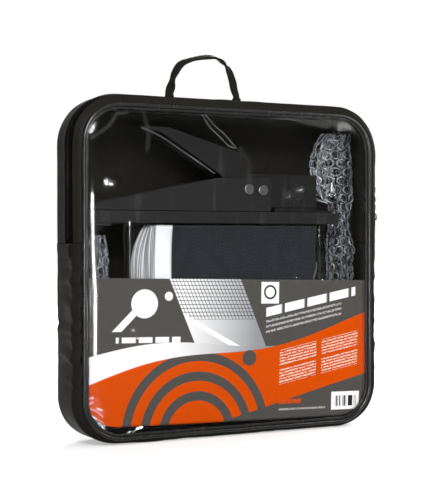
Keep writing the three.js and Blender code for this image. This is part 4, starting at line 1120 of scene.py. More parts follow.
# Pressed folds on the gusset's sides: height, rise and width in millimetres, and reach across the strip.
SIDE_FOLDS = (
    (139, -1.1, 4, 0.45), (131, 0.8, 5, 0.5), (116, -1.2, 3.5, 0.4), (109, 0.7, 5, 0.5),
    (95.5, -1.3, 2.6, 1.2), (92, 0.7, 4, 1.0), (78, -1.2, 4, 0.45), (71, 0.9, 5, 0.5), (60, -0.7, 5, 0.4),
    (128, 1.1, 1.8, 0.35), (124, -0.9, 1.9, 0.3), (88, 1.1, 1.8, 0.5), (84, -0.9, 1.9, 0.5),
    (67.5, 1.2, 1.8, 0.35),
    (63, -0.9, 1.9, 0.3), (50, 0.8, 2.0, 0.4), (46, -0.7, 2.2, 0.4),
)

# The film's slope against the distance in from its edge, and how far its left edge's bend wavers at heights,
# in millimetres.
EDGE_SLOPE = ((0, 1.2, 2.2, 5.4, 7.0, 11, 18), (0.40, 0.27, 0.226, 0.196, 0.10, 0.03, 0))
EDGE_WAVER = ((60, 76, 115, 153, 180, 202, 215), (0.8, 1.4, 2.2, 0.1, -0.6, -1.2, -1.2))

# Round dents pressed out of the film by what lies behind it: X from the middle, Z, width and height.
FILM_DENTS = ((-110, 206, 10.0, 1.0), (57, 201, 5.0, 1.2), (-119, 30, 9.0, 0.9))

# Flat facets where the film is pressed or kinked, all turned the same way to the light:
# X from the middle, Z, half length, half width and turn in degrees.
FILM_FACETS = (
    (-112.8, 205.6, 3.8, 3.1, -50), (-109.0, 204.6, 2.4, 2.3, 30), (-125.2, 39.0, 2.0, 1.5, 20),
    (-120.8, 30.4, 5.2, 0.9, -28), (-123.2, 23.4, 2.6, 1.2, -50), (-118.4, 18.6, 2.6, 1.2, 16),
    (-114.6, 15.8, 2.4, 1.2, -66), (-93.0, 11.2, 3.2, 1.3, 38), (-86.5, 13.2, 4.0, 1.2, 6),
    (-91.0, 89.5, 2.1, 1.9, -40), (-88.4, 84.0, 2.1, 2.3, 0), (61.0, 203.0, 2.3, 2.4, 0),
    (50.5, 197.2, 3.6, 1.7, -40), (55.6, 195.8, 3.0, 1.7, 40), (83.6, 128.8, 3.6, 2.1, 80),
    (57.0, 128.0, 3.2, 1.8, 100), (-94.8, 174.0, 2.6, 1.9, 40),
)

# Creases of the film, in millimetres: start and end as (X from the middle, Z), height and width.
FILM_CREASES = (
    ((-31.6, 262), (-22.6, 250), 0.25, 2.4), ((-24, 252), (-3.4, 236), 0.25, 2.6),
    ((-131, 244), (-104, 265), 0.4, 3.4), ((-124, 238), (-96, 262), 0.3, 2.8),
    ((-84, 264), (-80, 246), 0.3, 3.0), ((-129, 34), (-114, 27), 0.9, 1.6),
    ((-126, 25), (-120, 21), 0.9, 1.5), ((-97, 10.5), (-82, 13.5), 0.9, 1.5),
    ((-125, 19), (-110, 12), 0.9, 2.0), ((122, 264), (132, 253), 0.3, 2.4), ((96, 256), (118, 226), 0.5, 5.0),
    ((60, 262), (96, 250), 0.25, 4.5), ((20, 262), (48, 248), 0.25, 4.0), ((100, 238), (124, 190), 0.7, 5.0),
    ((-60, 120), (10, 152), 0.22, 3.0), ((0, 158), (38, 170), 0.22, 2.5), ((-104, 214), (-92, 196), 0.5, 4.0),
    ((40, 60), (78, 96), 0.25, 5.0), ((-90, 52), (-50, 84), 0.2, 6.0), ((84, 20), (126, 34), 0.3, 4.0),
    ((-50, 232), (-26, 224), 0.4, 3.0), ((14, 232), (40, 222), 0.4, 4.0), ((118, 170), (124, 140), 0.5, 2.5),
)


# ---------------------------------------------------------------- zip
@dataclass
class CaseZip:
    """The zip round the upper case: two woven tapes, two rows of teeth, end tabs, sliders and pulls."""

    case: SoftCase
    tooth_pitch: float = 1.7 * MM
    tooth_length: float = 1.15 * MM
    tooth_height: float = 1.5 * MM
    tape_sunk: float = 0.75 * MM
    upper_pull_bow: float = 0.6 * MM
    lower_pull_bow: float = 2.8 * MM

    def build_tape(self, node: str, body: str) -> None:
        """One tape: a flat woven strip just under the gusset's face."""
        low, high = node_size(node)
        before, past = (0.2 * MM, 1.2 * MM) if body == CASE_BODY else (1.2 * MM, 0.2 * MM)
        depth = np.linspace(low[1] - before, high[1] + past, 12)
        sunk = 1 - self.tape_sunk / self.case.bulge
        tape = self.case.swept(f"{node}_woven", self.case.upper_way(), np.full(12, sunk), depth, ZIP_TAPE,
                               lambda x, y, z, _: 0.12 * MM * waves(np.stack([x, y, z], -1), 14 * MM, 81),
                               wall=0.6 * MM)
        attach(tape, body)
        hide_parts(node)

    def build_teeth(self, node: str, body: str, side: int) -> None:
        """One row of coil teeth: small blocks at the zip's pitch, half a pitch apart from the other row."""
        start, end = self.case.right_fold, self.case.left_fold
        count = int((end - start) / self.tooth_pitch) - 1
        at = start + self.tooth_pitch * (np.arange(count) + (0.75 if side > 0 else 0.25))
        along, outwards = self.case.outline.ways(at)
        low, high = node_size(node)
        centre = self.case.outline.carried(at, self.case.bulge - self.tape_sunk - 0.3 * MM,
                                           (low[1] + high[1]) / 2 - side * 0.1 * MM)[:, 0]
        size = np.array([self.tooth_length, high[1] - low[1] + 0.3 * MM, self.tooth_height])
        corners = small_blocks(centre, along, np.array([0.0, 1.0, 0.0]), outwards, size)
        teeth = many_blocks(f"{node}_coil", corners, ZIP_COIL.material())
        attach(teeth, body)
        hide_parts(node)

    def build_tab(self, node: str, side: int) -> None:
        """An end tab over the zip's end: a folded patch of cloth with a box of stitches."""
        low, high = node_size(node)
        face = high[0] if side > 0 else low[0]
        u, v = np.meshgrid(np.linspace(-1, 1, 15), np.linspace(-1, 1, 15), indexing="ij")
        y = (low[1] + high[1]) / 2 + v * (high[1] - low[1]) / 2
        z = (low[2] + high[2]) / 2 + u * (high[2] - low[2]) / 2
        edge = np.maximum(np.abs(u), np.abs(v))
        lift = 0.35 * MM * smooth_step(edge, 1.0, 0.86) - 0.3 * MM * hump(edge, 0.72, 0.06)
        x = face - side * (0.45 * MM - lift)
        tab = surface(f"{node}_cloth", np.stack([x, y, z], -1), SATIN_FABRIC.material(),
                      np.stack([y, z], -1), flip=side > 0)
        walled(tab, 0.8 * MM)
        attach(tab, CASE_BODY)
        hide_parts(node)

    def build_pull(self, name: str, bow: float) -> None:
        """A wire pull, bent a little outward toward its free end: rise = bow * (distance / length)^2."""
        joint = next(one for one in frame["joints"] if one["child"] == name)
        source = frame["nodes"][f"zip_{name}"]
        wire = wire_copy(f"{name}_wire", source, ZIP_METAL)
        points = mesh_points(wire)
        away = np.abs(points[:, 2] - joint["pos_m"][2])
        points[:, 0] += bow * (away / away.max()) ** 2
        wire.data.vertices.foreach_set("co", points.ravel())
        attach(wire, name)
        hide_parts(source.name)

    def build(self) -> None:
        """Makes both tapes, both rows of teeth and the end tabs, and plates the sliders and pulls."""
        self.build_tape("zip_tape_back", CASE_BODY)
        self.build_tape("zip_tape_front", FRONT_BODY)
        self.build_teeth("zip_teeth_back", CASE_BODY, 1)
        self.build_teeth("zip_teeth_front", FRONT_BODY, -1)
        self.build_tab("zip_end_tab_left", -1)
        self.build_tab("zip_end_tab_right", 1)
        for node in ("zip_slider_upper", "zip_slider_lower"):
            dress_node(node, ZIP_METAL, 0.35 * MM)
        self.build_pull("pull_upper", self.upper_pull_bow)
        self.build_pull("pull_lower", self.lower_pull_bow)
        LOG.info("zip built")


def dress_node(node: str, finish: Finish, bevel: float) -> None:
    """Gives a frame node its finish, and rounds its edges by a width."""
    piece = frame["nodes"][node]
    piece.data.materials.clear()
    piece.data.materials.append(finish.material())
    weld = piece.modifiers.new("weld", "WELD")
    weld.merge_threshold = 0.005 * MM
    edge = piece.modifiers.new("edge", "BEVEL")
    edge.width, edge.segments, edge.limit_method = bevel, 2, "ANGLE"
    edge.angle_limit = math.radians(32)
    edge.use_clamp_overlap = True


def wire_copy(name: str, source: Piece, finish: Finish) -> Piece:
    """A frame node's faceted wire as a new round piece."""
    mesh = source.data.copy()
    mesh.materials.clear()
    mesh.materials.append(finish.material())
    wire = linked(name, mesh)
    merge_doubles(wire)
    mesh.polygons.foreach_set("use_smooth", np.ones(len(mesh.polygons), dtype=bool))
    rounding = wire.modifiers.new("rounding", "SUBSURF")
    rounding.levels = rounding.render_levels = 1
    return wire


# ---------------------------------------------------------------- carry handle
def through(points: Array, count: int) -> Array:
    """Smooth path through points: cubic Hermite pieces whose slopes are the chord means at each point."""
    knots = np.concatenate([[0], np.cumsum(np.sqrt(np.linalg.norm(np.diff(points[:, :2], axis=0), axis=1)))])
    slopes = np.gradient(points, knots, axis=0)
    at = np.linspace(0, knots[-1], count)
    span = np.clip(np.searchsorted(knots, at, side="right") - 1, 0, len(knots) - 2)
    length = (knots[span + 1] - knots[span])[:, None]
    t = (at[:, None] - knots[span][:, None]) / length
    start, end = points[span], points[span + 1]
    first = (1 + 2 * t) * (1 - t) ** 2 * start + t * (1 - t) ** 2 * length * slopes[span]
    return first + t * t * (3 - 2 * t) * end + t * t * (t - 1) * length * slopes[span + 1]


@dataclass
class CarryHandle:
    """The strap: cloth folded lengthwise and sewn, twisting from one sewn foot to the other."""

    case: SoftCase
    width: float = 7.6 * MM
    wall: float = 2.3 * MM
    strap_length: float = 130 * MM       # along the weave, from end to end
    hem_drop: float = 1.3 * MM           # from a foot's top to the middle of the strap's hem
    # X from the case's middle, height over the hem's middle, and the turn of the flat in degrees.
    route: tuple[tuple[float, float, float], ...] = (
        (-46.9, -0.8, 32), (-46.4, 3.4, 34), (-45.5, 6.4, 46), (-44, 13, 82), (-41.5, 19, 62),
        (-36.2, 26.5, 58), (-27, 30.8, 66), (-12, 34, 62), (-4, 34, 70), (2.9, 30.3, 86),
        (7.8, 24.8, 30), (11.6, 15.8, 16), (13.4, 8, 22), (15.2, 3.4, 26), (15.8, -0.8, 26),
    )

    def build_strap(self) -> None:
        """The strap: a flat rounded section with a groove where its fold meets, carried along the route.

        The section is a superellipse, its faces drawn in along the middle, turned by the route's turn.
        """
        low, high = node_size("handle_foot_left")
        hem_z = high[2] - self.hem_drop
        middle_y = (low[1] + high[1]) / 2
        steps = 150
        path = through(np.array(self.route), steps)
        slope = np.gradient(path[:, :2], axis=0)
        along = slope / np.linalg.norm(slope, axis=1, keepdims=True)
        angle = np.linspace(0, 2 * np.pi, 25)
        flat = squared(np.cos(angle), 0.7)
        thick = squared(np.sin(angle), 0.6)
        groove = 1 - 0.35 * hump(flat, 0.12, 0.16)
        walked = np.linspace(0, 1, steps)
        places = np.stack([path[:, 0], path[:, 1], 0 * walked], -1) * MM
        pinch = 1 + 0.09 * waves(places, 12 * MM, 91)
        half = self.width / 2 * pinch[:, None] * flat[None, :]
        skin = self.wall / 2 * thick * groove
        turn = np.radians(path[:, 2])[:, None]
        in_plane = half * np.cos(turn) - skin * np.sin(turn)
        in_depth = half * np.sin(turn) + skin * np.cos(turn)
        x = self.case.outline.centre_x + path[:, 0, None] * MM - in_plane * along[:, 1, None]
        z = hem_z + path[:, 1, None] * MM + in_plane * along[:, 0, None]
        points = np.stack([x, middle_y + in_depth, z], -1)
        ends = [np.broadcast_to(points[i, :-1].mean(0), points[0].shape) for i in (0, -1)]
        points = np.concatenate([ends[0][None], points, ends[1][None]])
        around = angle * self.width / 3
        length = np.concatenate([[0], walked, [1]]) * self.strap_length
        pattern = np.stack(np.broadcast_arrays(length[:, None], around), -1)
        strap = surface("handle_strap", points, SATIN_FABRIC.material(), pattern, close_columns=True)
        merge_doubles(strap)
        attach(strap, "handle")
        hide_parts("carry_handle")

    def build_foot(self, node: str) -> None:
        """A sewn foot: a domed patch of cloth on the gusset with the strap's hem standing in its middle."""
        low, high = node_size(node)
        middle = (low + high) / 2
        radius, angle = np.meshgrid(np.linspace(0, 1, 14), np.linspace(0, 2 * np.pi, 49), indexing="ij")
        x = middle[0] + radius * squared(np.cos(angle), 0.5) * (high[0] - low[0]) / 2
        y = middle[1] + radius * squared(np.sin(angle), 0.5) * (high[1] - low[1]) / 2
        top = low[2] + 1.0 * MM
        z = top - 1.1 * MM * smooth_step(radius, 0.82, 1.0) - 0.3 * MM * hump(radius, 0.74, 0.05)
        z = z + 0.25 * MM * waves(np.stack([x, y, z], -1), 9 * MM, 95)
        patch = surface(f"{node}_patch", np.stack([x, y, z], -1), SATIN_FABRIC.material(),
                        np.stack([x, y], -1), close_columns=True)
        merge_doubles(patch)
        walled(patch, 0.7 * MM)
        along, around = np.meshgrid(np.linspace(-1, 1, 17), np.linspace(0, 2 * np.pi, 25), indexing="ij")
        hem_z = high[2] - self.hem_drop
        squeeze = np.sqrt(np.maximum(1e-4, 1 - np.abs(along) ** 6))
        hem_x = middle[0] + along * 4.1 * MM
        hem_y = middle[1] + squeeze * 1.35 * MM * np.cos(around) * (1 + 0.5 * hump(np.sin(around), -1, 0.8))
        lift = np.where(np.sin(around) < 0, (hem_z - top + 0.5 * MM), 1.35 * MM)
        hem = surface(f"{node}_hem", np.stack([hem_x, hem_y, hem_z + squeeze * lift * np.sin(around)], -1),
                      SATIN_FABRIC.material(), np.stack([hem_x, around * 2 * MM], -1), close_columns=True,
                      flip=True)
        foot = joined(f"{node}_cloth", [patch, hem])
        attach(foot, CASE_BODY)
        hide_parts(node)

    def build(self) -> None:
        """Makes the strap and both feet."""
        self.build_strap()
        self.build_foot("handle_foot_left")
        self.build_foot("handle_foot_right")
        LOG.info("handle built")


# ---------------------------------------------------------------- card
class Ink(Enum):
    """The card's inks, as colours of the light they send back."""

    GREY = (0.074, 0.071, 0.066)
    ORANGE = (0.610, 0.068, 0.000)
    WHITE = (0.90, 0.90, 0.90)
    CREAM = (0.80, 0.62, 0.50)
    PALE = (0.42, 0.41, 0.40)
    SHADE = (0.28, 0.29, 0.31)
    SOOT = (0.020, 0.020, 0.022)


class PrintShapes:
    """Soft-edged masks of plain shapes on the card, in millimetres from its lower left corner."""

    def __init__(self, graph: Graph) -> None:
        """Takes the card's own coordinates."""
        self.graph = graph
        self.across, self.up, _ = graph.split(graph.vector("MULTIPLY", graph.woven(), (1000.0, 1000.0, 0.0)))

    def below(self, value: object, limit: float, soft: float = 0.15) -> Socket:
        """One where the value is under the limit."""
        return self.graph.remap(value, limit - soft, limit + soft, 1.0, 0.0)

    def both(self, *masks: Socket) -> Socket:
        """The overlap of masks."""
        result = masks[0]
        for mask in masks[1:]:
            result = self.graph.math("MULTIPLY", result, mask)
        return result

    def within(self, value: object, low: float, high: float, soft: float = 0.15) -> Socket:
        """One between two limits."""
        off = self.graph.math("ABSOLUTE", self.graph.math("SUBTRACT", value, (low + high) / 2))
        return self.below(off, (high - low) / 2, soft)

    def leaning(self, slope: float) -> Socket:
        """Place across a line that leans: x - slope * y."""
        return self.graph.math("MULTIPLY_ADD", self.up, -slope, self.across)

    def box(self, left: float, right: float, low: float, high: float) -> Socket:
        """A rectangle."""
        return self.both(self.within(self.across, left, right), self.within(self.up, low, high))

    def reach(self, centre_x: float, centre_y: float) -> Socket:
        """Distance from a place."""
        off_x = self.graph.math("SUBTRACT", self.across, centre_x)
        off_y = self.graph.math("SUBTRACT", self.up, centre_y)
        square = self.graph.math("MULTIPLY_ADD", off_x, off_x, self.graph.math("MULTIPLY", off_y, off_y))
        return self.graph.math("SQRT", square)

    def disc(self, centre_x: float, centre_y: float, radius: float) -> Socket:
        """A full circle."""
        return self.below(self.reach(centre_x, centre_y), radius)

    def ring(self, centre_x: float, centre_y: float, radius: float, line: float) -> Socket:
        """A round line."""
        return self.within(self.reach(centre_x, centre_y), radius - line, radius)

    def lines(self, value: object, pitch: float, share: float) -> Socket:
        """Bars that repeat at a pitch and cover a share of it."""
        return self.below(self.graph.math("FRACT", self.graph.math("DIVIDE", value, pitch)), share, 0.04)

    def broken(self) -> Socket:
        """Short gaps at random places, as between words."""
        return self.below(self.graph.noise(self.graph.woven(), 700.0, 0.0), 0.60, 0.03)


@dataclass(frozen=True)
class PrintedCard(Finish):
    """Coated board with a plain generic print: a slanted orange field, a white band, rings, bars and a grid.

    Each shape is a mask worked out from the card's own pattern coordinates, in metres from its lower left.
    """

    def dress(self, graph: Graph, shader: Node) -> None:
        """Lays the inks over each other in printing order."""
        sheet = PrintShapes(graph)
        across, up = sheet.across, sheet.up
        swell = graph.math("SINE", graph.math("MULTIPLY", across, math.pi / 115))
        wave = graph.math("MULTIPLY_ADD", swell, -6.0, graph.math("MULTIPLY_ADD", across, -0.205, up))
        field = sheet.below(wave, 33)
        layers: list[tuple[Socket, Colour | Socket]] = []

        panel = sheet.both(sheet.within(sheet.leaning(-0.45), 122, 186), sheet.within(wave, 33, 200))
        shade = graph.mix(graph.remap(across, 80, 150, 0, 1), Ink.WHITE.value, Ink.SHADE.value)
        layers.append((panel, shade))
        for value in (sheet.leaning(-0.45), up):
            lines = sheet.both(panel, sheet.lines(value, 3.1, 0.16), sheet.within(up, 84, 200))
            layers.append((lines, Ink.SOOT.value))
        layers.append((sheet.both(panel, sheet.within(sheet.leaning(-1.9), 243, 252)), Ink.WHITE.value))

        band = graph.math("MULTIPLY_ADD", across, -0.13, 55.0)
        stripe = sheet.both(sheet.below(graph.math("SUBTRACT", wave, band), 0), sheet.below(across, 168))
        fading = graph.mix(graph.remap(across, 70, 150, 0, 1), Ink.WHITE.value, Ink.SHADE.value)
        layers.append((stripe, fading))
        layers.append((field, Ink.ORANGE.value))
        for radius in (34, 50, 66):
            layers.append((sheet.both(field, sheet.ring(96, -8, radius, 7.5)), Ink.GREY.value))
        layers.append((sheet.disc(143, 52, 6.5), Ink.GREY.value))
        corner = sheet.below(graph.math("MULTIPLY_ADD", across, -0.26, up), -30.6)
        layers.append((corner, Ink.GREY.value))

        handle = sheet.both(sheet.within(sheet.leaning(1.0), -54.5, -46.5), sheet.within(up, 75, 92))
        for mask in (sheet.disc(48, 97, 11.5), handle, sheet.disc(69, 103, 3.6)):
            layers.append((mask, Ink.WHITE.value))
        layers.append((sheet.both(sheet.box(24, 80, 66, 70.5), sheet.lines(across, 14.5, 0.82)),
                       Ink.WHITE.value))

        layers.append((sheet.box(153, 170, 97, 115), Ink.WHITE.value))
        layers.append((sheet.ring(161.5, 106.5, 6, 1.6), Ink.SOOT.value))
        slant = graph.math("MULTIPLY_ADD", across, -0.205, up)
        heavy = sheet.both(sheet.within(across, 158, 246), sheet.within(slant, 53.5, 61),
                           sheet.lines(across, 22, 0.86))
        layers.append((heavy, Ink.WHITE.value))
        for row in (48.5, 44.2, 39.9):
            line = sheet.both(sheet.within(across, 158, 232), sheet.within(slant, row, row + 1.9),
                              sheet.broken())
            layers.append((line, Ink.PALE.value))
        for left in (172, 213):
            for low in (-6.5, 9.5):
                words = sheet.both(sheet.within(across, left, left + 36), sheet.within(slant, low, low + 13),
                                   sheet.lines(slant, 2.45, 0.5), sheet.broken())
                layers.append((words, Ink.CREAM.value))
        layers.append((sheet.both(sheet.box(172, 194, 12.6, 16.4), sheet.broken()), Ink.ORANGE.value))
        layers.append((sheet.both(sheet.box(172, 218, 7.2, 8.8), sheet.broken()), Ink.PALE.value))
        layers.append((sheet.box(224, 252, 5.5, 21), Ink.WHITE.value))
        bars = graph.add("ShaderNodeTexWhiteNoise", noise_dimensions="1D")
        graph.put(bars.inputs["W"], graph.math("FLOOR", graph.math("DIVIDE", across, 0.55)))
        dark = sheet.below(bars.outputs["Value"], 0.5, 0.01)
        layers.append((sheet.both(sheet.box(228, 249, 8.5, 17.5), dark), Ink.SOOT.value))

        colour: Socket | tuple = (*Ink.GREY.value, 1.0)
        for mask, ink in layers:
            colour = graph.mix(mask, colour, ink)
        drift = graph.shared(EFFECTS.tone, Place=graph.placed(), Colour=colour, Patches=18.0, Spread=0.1)
        fibre = graph.noise(graph.placed(), 900.0)
        graph.feed(shader, Base_Color=drift.outputs["Colour"], Specular_IOR_Level=0.02,
                   Roughness=graph.math("ADD", self.scuffed(graph, 200.0, 0.2), self.roughness),
                   Normal=graph.bump(fibre, 0.02 * MM, 0.4))


PRINTED_CARD = PrintedCard("printed_card", (0.09, 0.085, 0.078), 0.42)


@dataclass
class Card:
    """The printed card in the front of the case, its lower corners cut round, bowed a little."""

    case: SoftCase
    wall: float = 0.5 * MM
    corner: float = 27 * MM
    tilt: float = math.radians(1.25)

    def build(self) -> None:
        """The card: a grid over its outline, whose lower rows are drawn in along the corner arcs."""
        low, high = node_size("insert_card")
        rise = math.sin(self.tilt) * (high[0] - low[0])
        half, bottom, top = (high[0] - low[0]) / 2 - 0.6 * MM, low[2] + rise / 2, high[2] - rise / 2
        middle_x, middle_z = (low[0] + high[0]) / 2, (low[2] + high[2]) / 2
        u = np.linspace(-1, 1, 150)[None, :]
        v = np.linspace(0, 1, 70)[:, None]
        height = (top - bottom) * v + 0 * u
        short = np.maximum(0, self.corner - height)
        narrow = self.corner - np.sqrt(np.maximum(0, self.corner ** 2 - short ** 2))
        x = u * (half - narrow)
        z = bottom + height - middle_z
        turned_x = middle_x + x * math.cos(self.tilt) + z * math.sin(self.tilt)
        turned_z = middle_z - x * math.sin(self.tilt) + z * math.cos(self.tilt)
        places = np.stack([turned_x, 0 * x, turned_z], -1)
        bow = 0.35 * MM * waves(places, 120 * MM, 101) - 0.25 * MM * (1 - v) ** 2
        y = (low[1] + high[1]) / 2 - 0.2 * MM - bow
        card = surface("card_board", np.stack([turned_x, y, turned_z], -1), PRINTED_CARD.material(),
                       np.stack([x + half, z + middle_z - bottom], -1), flip=True)
        walled(card, self.wall)
        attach(card, CASE_BODY)
        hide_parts("insert_card")
        LOG.info("card built")


# ---------------------------------------------------------------- net, its tape and its bag
@dataclass
class FoldedNet:
    """The net folded up and down in fourteen layers, its white top tape on the left, in a clear bag."""

    layers: int = 14
    length: float = 1.83
    height: float = 152.5 * MM
    tape_width: float = 15.5 * MM
    tape_gap: float = 0.3 * MM
    mesh_pitch: float = 4.75 * MM
    cord: float = 0.95 * MM
    fan: float = 18.5 * MM
    rounding: float = 0.31 * MM
    layer_pitch: float = 0.62 * MM

    def __post_init__(self) -> None:
        """Takes the pack's box from the frame."""
        self.low, self.high = node_size("folded_net")
        self.fold = self.length / self.layers

    def lay(self, along: Array, across: Array) -> Array:
        """Place of each point of the flat net: along its length and across from the tape's edge.

        The length runs up one layer, over a round fold and down the next, with depth pitch * (layer + fold).
        Each deeper layer lies further to the left, and all share the soft waves of the pack.
        """
        layer = np.clip(np.floor(along / self.fold), 0, self.layers - 1)
        within = along - layer * self.fold
        up = layer % 2 == 0
        straight = self.fold - np.pi * self.rounding
        turn = np.clip((within - straight) / (np.pi * self.rounding), 0, 1) * np.pi
        run = np.minimum(within, straight)
        reach = run + self.rounding * np.sin(turn)
        bottom = self.low[2] + 0.5 * MM
        z = np.where(up, bottom + reach, bottom + straight - reach)
        depth = self.low[1] + 0.17 * MM + self.layer_pitch * layer + self.rounding * (1 - np.cos(turn))
        share = (depth - self.low[1]) / (self.layers * self.layer_pitch)
        near_top = np.clip((z - (self.high[2] - 34 * MM)) / (34 * MM), 0, 1) ** 2.2
        uneven = 0.06 * np.sin(9.0 * share + 0.7)
        x = self.high[0] - self.height + across - self.fan * (share + uneven) * (1 - 0.6 * near_top)
        places = np.stack([x, 0 * x, z], -1)
        bend = 0.45 * MM * waves(places, 60 * MM, 111) + 0.16 * MM * waves(places, 19 * MM, 112)
        slip = 0.9 * MM * waves(np.stack([0 * x, depth * 30, z * 0.4], -1), 40 * MM, 113)
        return np.stack([x + slip, depth + bend - 0.2 * MM, z], -1)

    def mesh_lines(self, start: float, end: float) -> tuple[Array, Array]:
        """Grid lines at both sides of every cord between two places, and which gaps are cord."""
        count = int((end - start - self.cord) / self.mesh_pitch)
        first = start + self.mesh_pitch * np.arange(count + 1)
        lines = np.stack([first, first + self.cord], -1).ravel()
        is_cord = np.arange(len(lines) - 1) % 2 == 0
        return lines, is_cord

    def build(self) -> None:
        """The net's cords, the tape, and the bag."""
        along, along_cord = self.mesh_lines(0, self.length)
        across, across_cord = self.mesh_lines(self.tape_width + self.tape_gap, self.height)
        keep = along_cord[:, None] | across_cord[None, :]
        u, v = np.meshgrid(along, across, indexing="ij")
        net = surface("net_mesh", self.lay(u, v), NET_CORD.material(), np.stack([u, v], -1), keep=keep,
                      flip=True)
        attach(net, CASE_BODY)
        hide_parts("folded_net")

        u, v = np.meshgrid(np.linspace(0, self.length, 560), np.linspace(0, self.tape_width, 9),
                           indexing="ij")
        tape = surface("net_white_tape", self.lay(u, v), WHITE_TAPE.material(), np.stack([u, v], -1),
                       flip=True)
        walled(tape, 0.25 * MM, 0)
        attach(tape, CASE_BODY)
        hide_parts("net_tape")
        flat = (self.height - self.tape_width, self.length)
        self.build_pouch()
        LOG.info("net built")

    def build_pouch(self) -> None:
        """The clear bag: a flat, wrinkled sleeve round the pack, open at the top, its flap slanting down."""
        low, high = node_size("net_pouch")
        middle, half = (low + high) / 2, (high - low) / 2
        angle = np.linspace(0, 2 * np.pi, 221)[None, :]
        rise = np.linspace(0, 1, 90)[:, None]
        flat = squared(np.cos(angle), 0.22)
        thick = squared(np.sin(angle), 0.34)
        closed = np.sqrt(np.clip(rise / 0.03, 0, 1))
        x = middle[0] + flat * half[0] * (0.985 + 0.015 * closed)
        y = middle[1] + thick * half[1] * (0.15 + 0.85 * closed)
        z = low[2] + rise * (high[2] - low[2]) + 0 * angle
        places = np.stack([x + 0 * rise, y + 0 * rise, z], -1)
        crinkle = 0.5 * MM * (1 - np.abs(waves(places, 30 * MM, 121))) ** 3
        y = y - np.where(thick < 0, crinkle * 0.5, -crinkle) * closed
        middle_x = middle[0] + 2.2 * MM
        for (x0, z0), (x1, z1), height, wide in POUCH_CREASES:
            ridge = crease(places[..., 0] - middle_x, z, (x0 * MM, z0 * MM), (x1 * MM, z1 * MM), wide * MM)
            y = y - np.where(thick < -0.3, height * MM * ridge, 0)
        x = x + 0.5 * MM * waves(places, 25 * MM, 122)
        points = np.stack([x + 0 * rise, y + 0 * rise, z], -1)
        points[:, -1] = points[:, 0]
        pouch = surface("net_pouch_film", points, POUCH_FILM.material(), close_columns=True, flip=True)
        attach(pouch, CASE_BODY)
        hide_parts("net_pouch")


# Creases on the bag's front: start and end as (X from its middle, Z), height and width, in millimetres.
POUCH_CREASES = (
    ((-44, 136), (-8, 152), 0.6, 2.6), ((-6, 150), (34, 166), 0.6, 3.0), ((-50, 150), (-20, 166), 0.5, 2.4),
    ((20, 130), (52, 148), 0.5, 2.8), ((72, 168), (83, 142), 0.9, 1.8), ((0, 143), (8, 126), 0.8, 1.4),
    ((76, 132), (80, 120), 0.9, 1.4), ((84, 132), (87, 120), 0.9, 1.4), ((-30, 172), (-10, 160), 0.4, 2.2),
)


# ---------------------------------------------------------------- bubble wrap
@dataclass
class BubbleWrap:
    """Bubble wrap wound round one post: a crumpled sleeve with rows of bubbles, and a loose outer turn."""

    node: str
    seed: int
    bubble_pitch: float = BUBBLE_FILM.pitch
    bubble_radius: float = 3.7 * MM
    bubble_height: float = 1.7 * MM
    sleeve_radius: float = 14 * MM

    def profile(self, z: Array) -> tuple[Array, Array, Array, Array]:
        """Middle X and Y and half sizes of the frame's sleeve at heights, read from the node's own points."""
        places = mesh_points(frame["nodes"][self.node])
        levels = np.unique(np.round(places[:, 2], 4))
        low = np.array([places[np.abs(places[:, 2] - level) < 2e-4].min(0) for level in levels])
        high = np.array([places[np.abs(places[:, 2] - level) < 2e-4].max(0) for level in levels])
        middle, half = (low + high) / 2, (high - low) / 2
        return tuple(np.interp(z, levels, column) for column in (middle[:, 0], middle[:, 1],
                                                                 half[:, 0], half[:, 1]))

    def build(self) -> None:
        """The outer skin: radius = sleeve + crumple + a dome at each place of a staggered grid."""
        low, high = node_size(self.node)
        z = np.linspace(low[2] + 0.5 * MM, high[2] - 0.5 * MM, round((high[2] - low[2]) / (0.75 * MM)))
        middle_x, middle_y, half_x, half_y = self.profile(z)
        angle = np.linspace(0, 2 * np.pi, 151)
        skins = []
        for turn, share in enumerate((0.90, 0.62)):
            around = angle * self.sleeve_radius * share
            places = np.stack(np.broadcast_arrays(np.cos(angle) * self.sleeve_radius,
                                                  np.sin(angle) * self.sleeve_radius, z[:, None]), -1)
            crumple = 1.2 * MM * waves(places, 24 * MM, self.seed + turn)
            crumple = crumple + 0.3 * MM * waves(places, 9 * MM, self.seed + 5 + turn)
            bands = round(around[-1] / self.bubble_pitch)
            u = around[None, :] / around[-1] * bands
            row = np.round(z[:, None] / BUBBLE_FILM.row_pitch)
            off_z = z[:, None] - row * BUBBLE_FILM.row_pitch
            shifted = u + 0.5 * (row % 2)
            off_u = (shifted - np.round(shifted)) * around[-1] / bands
            reach = np.hypot(off_u, off_z) / self.bubble_radius
            dome = np.sqrt(np.maximum(0, 1 - reach ** 2)) ** 0.8
            crushed = 0.85 + 0.35 * waves(places, 26 * MM, self.seed + 9)
            out = share + (crumple + self.bubble_height * dome * crushed - 1.6 * MM) / half_x[:, None]
            x = middle_x[:, None] + half_x[:, None] * out * np.cos(angle)
            y = middle_y[:, None] + half_y[:, None] * np.minimum(out, 1.12) * np.sin(angle)
            points = np.stack([x, y, np.broadcast_to(z[:, None], x.shape)], -1)
            points[:, -1] = points[:, 0]
            pattern = np.stack(np.broadcast_arrays(u * self.bubble_pitch, z[:, None]), -1)
            skins.append(surface(f"{self.node}_skin_{turn}", points, BUBBLE_FILM.material(), pattern,
                                 close_columns=True, flip=True))
        wrap = joined(f"{self.node}_film", skins)
        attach(wrap, CASE_BODY)
        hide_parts(self.node)
        LOG.info("%s built", self.node)


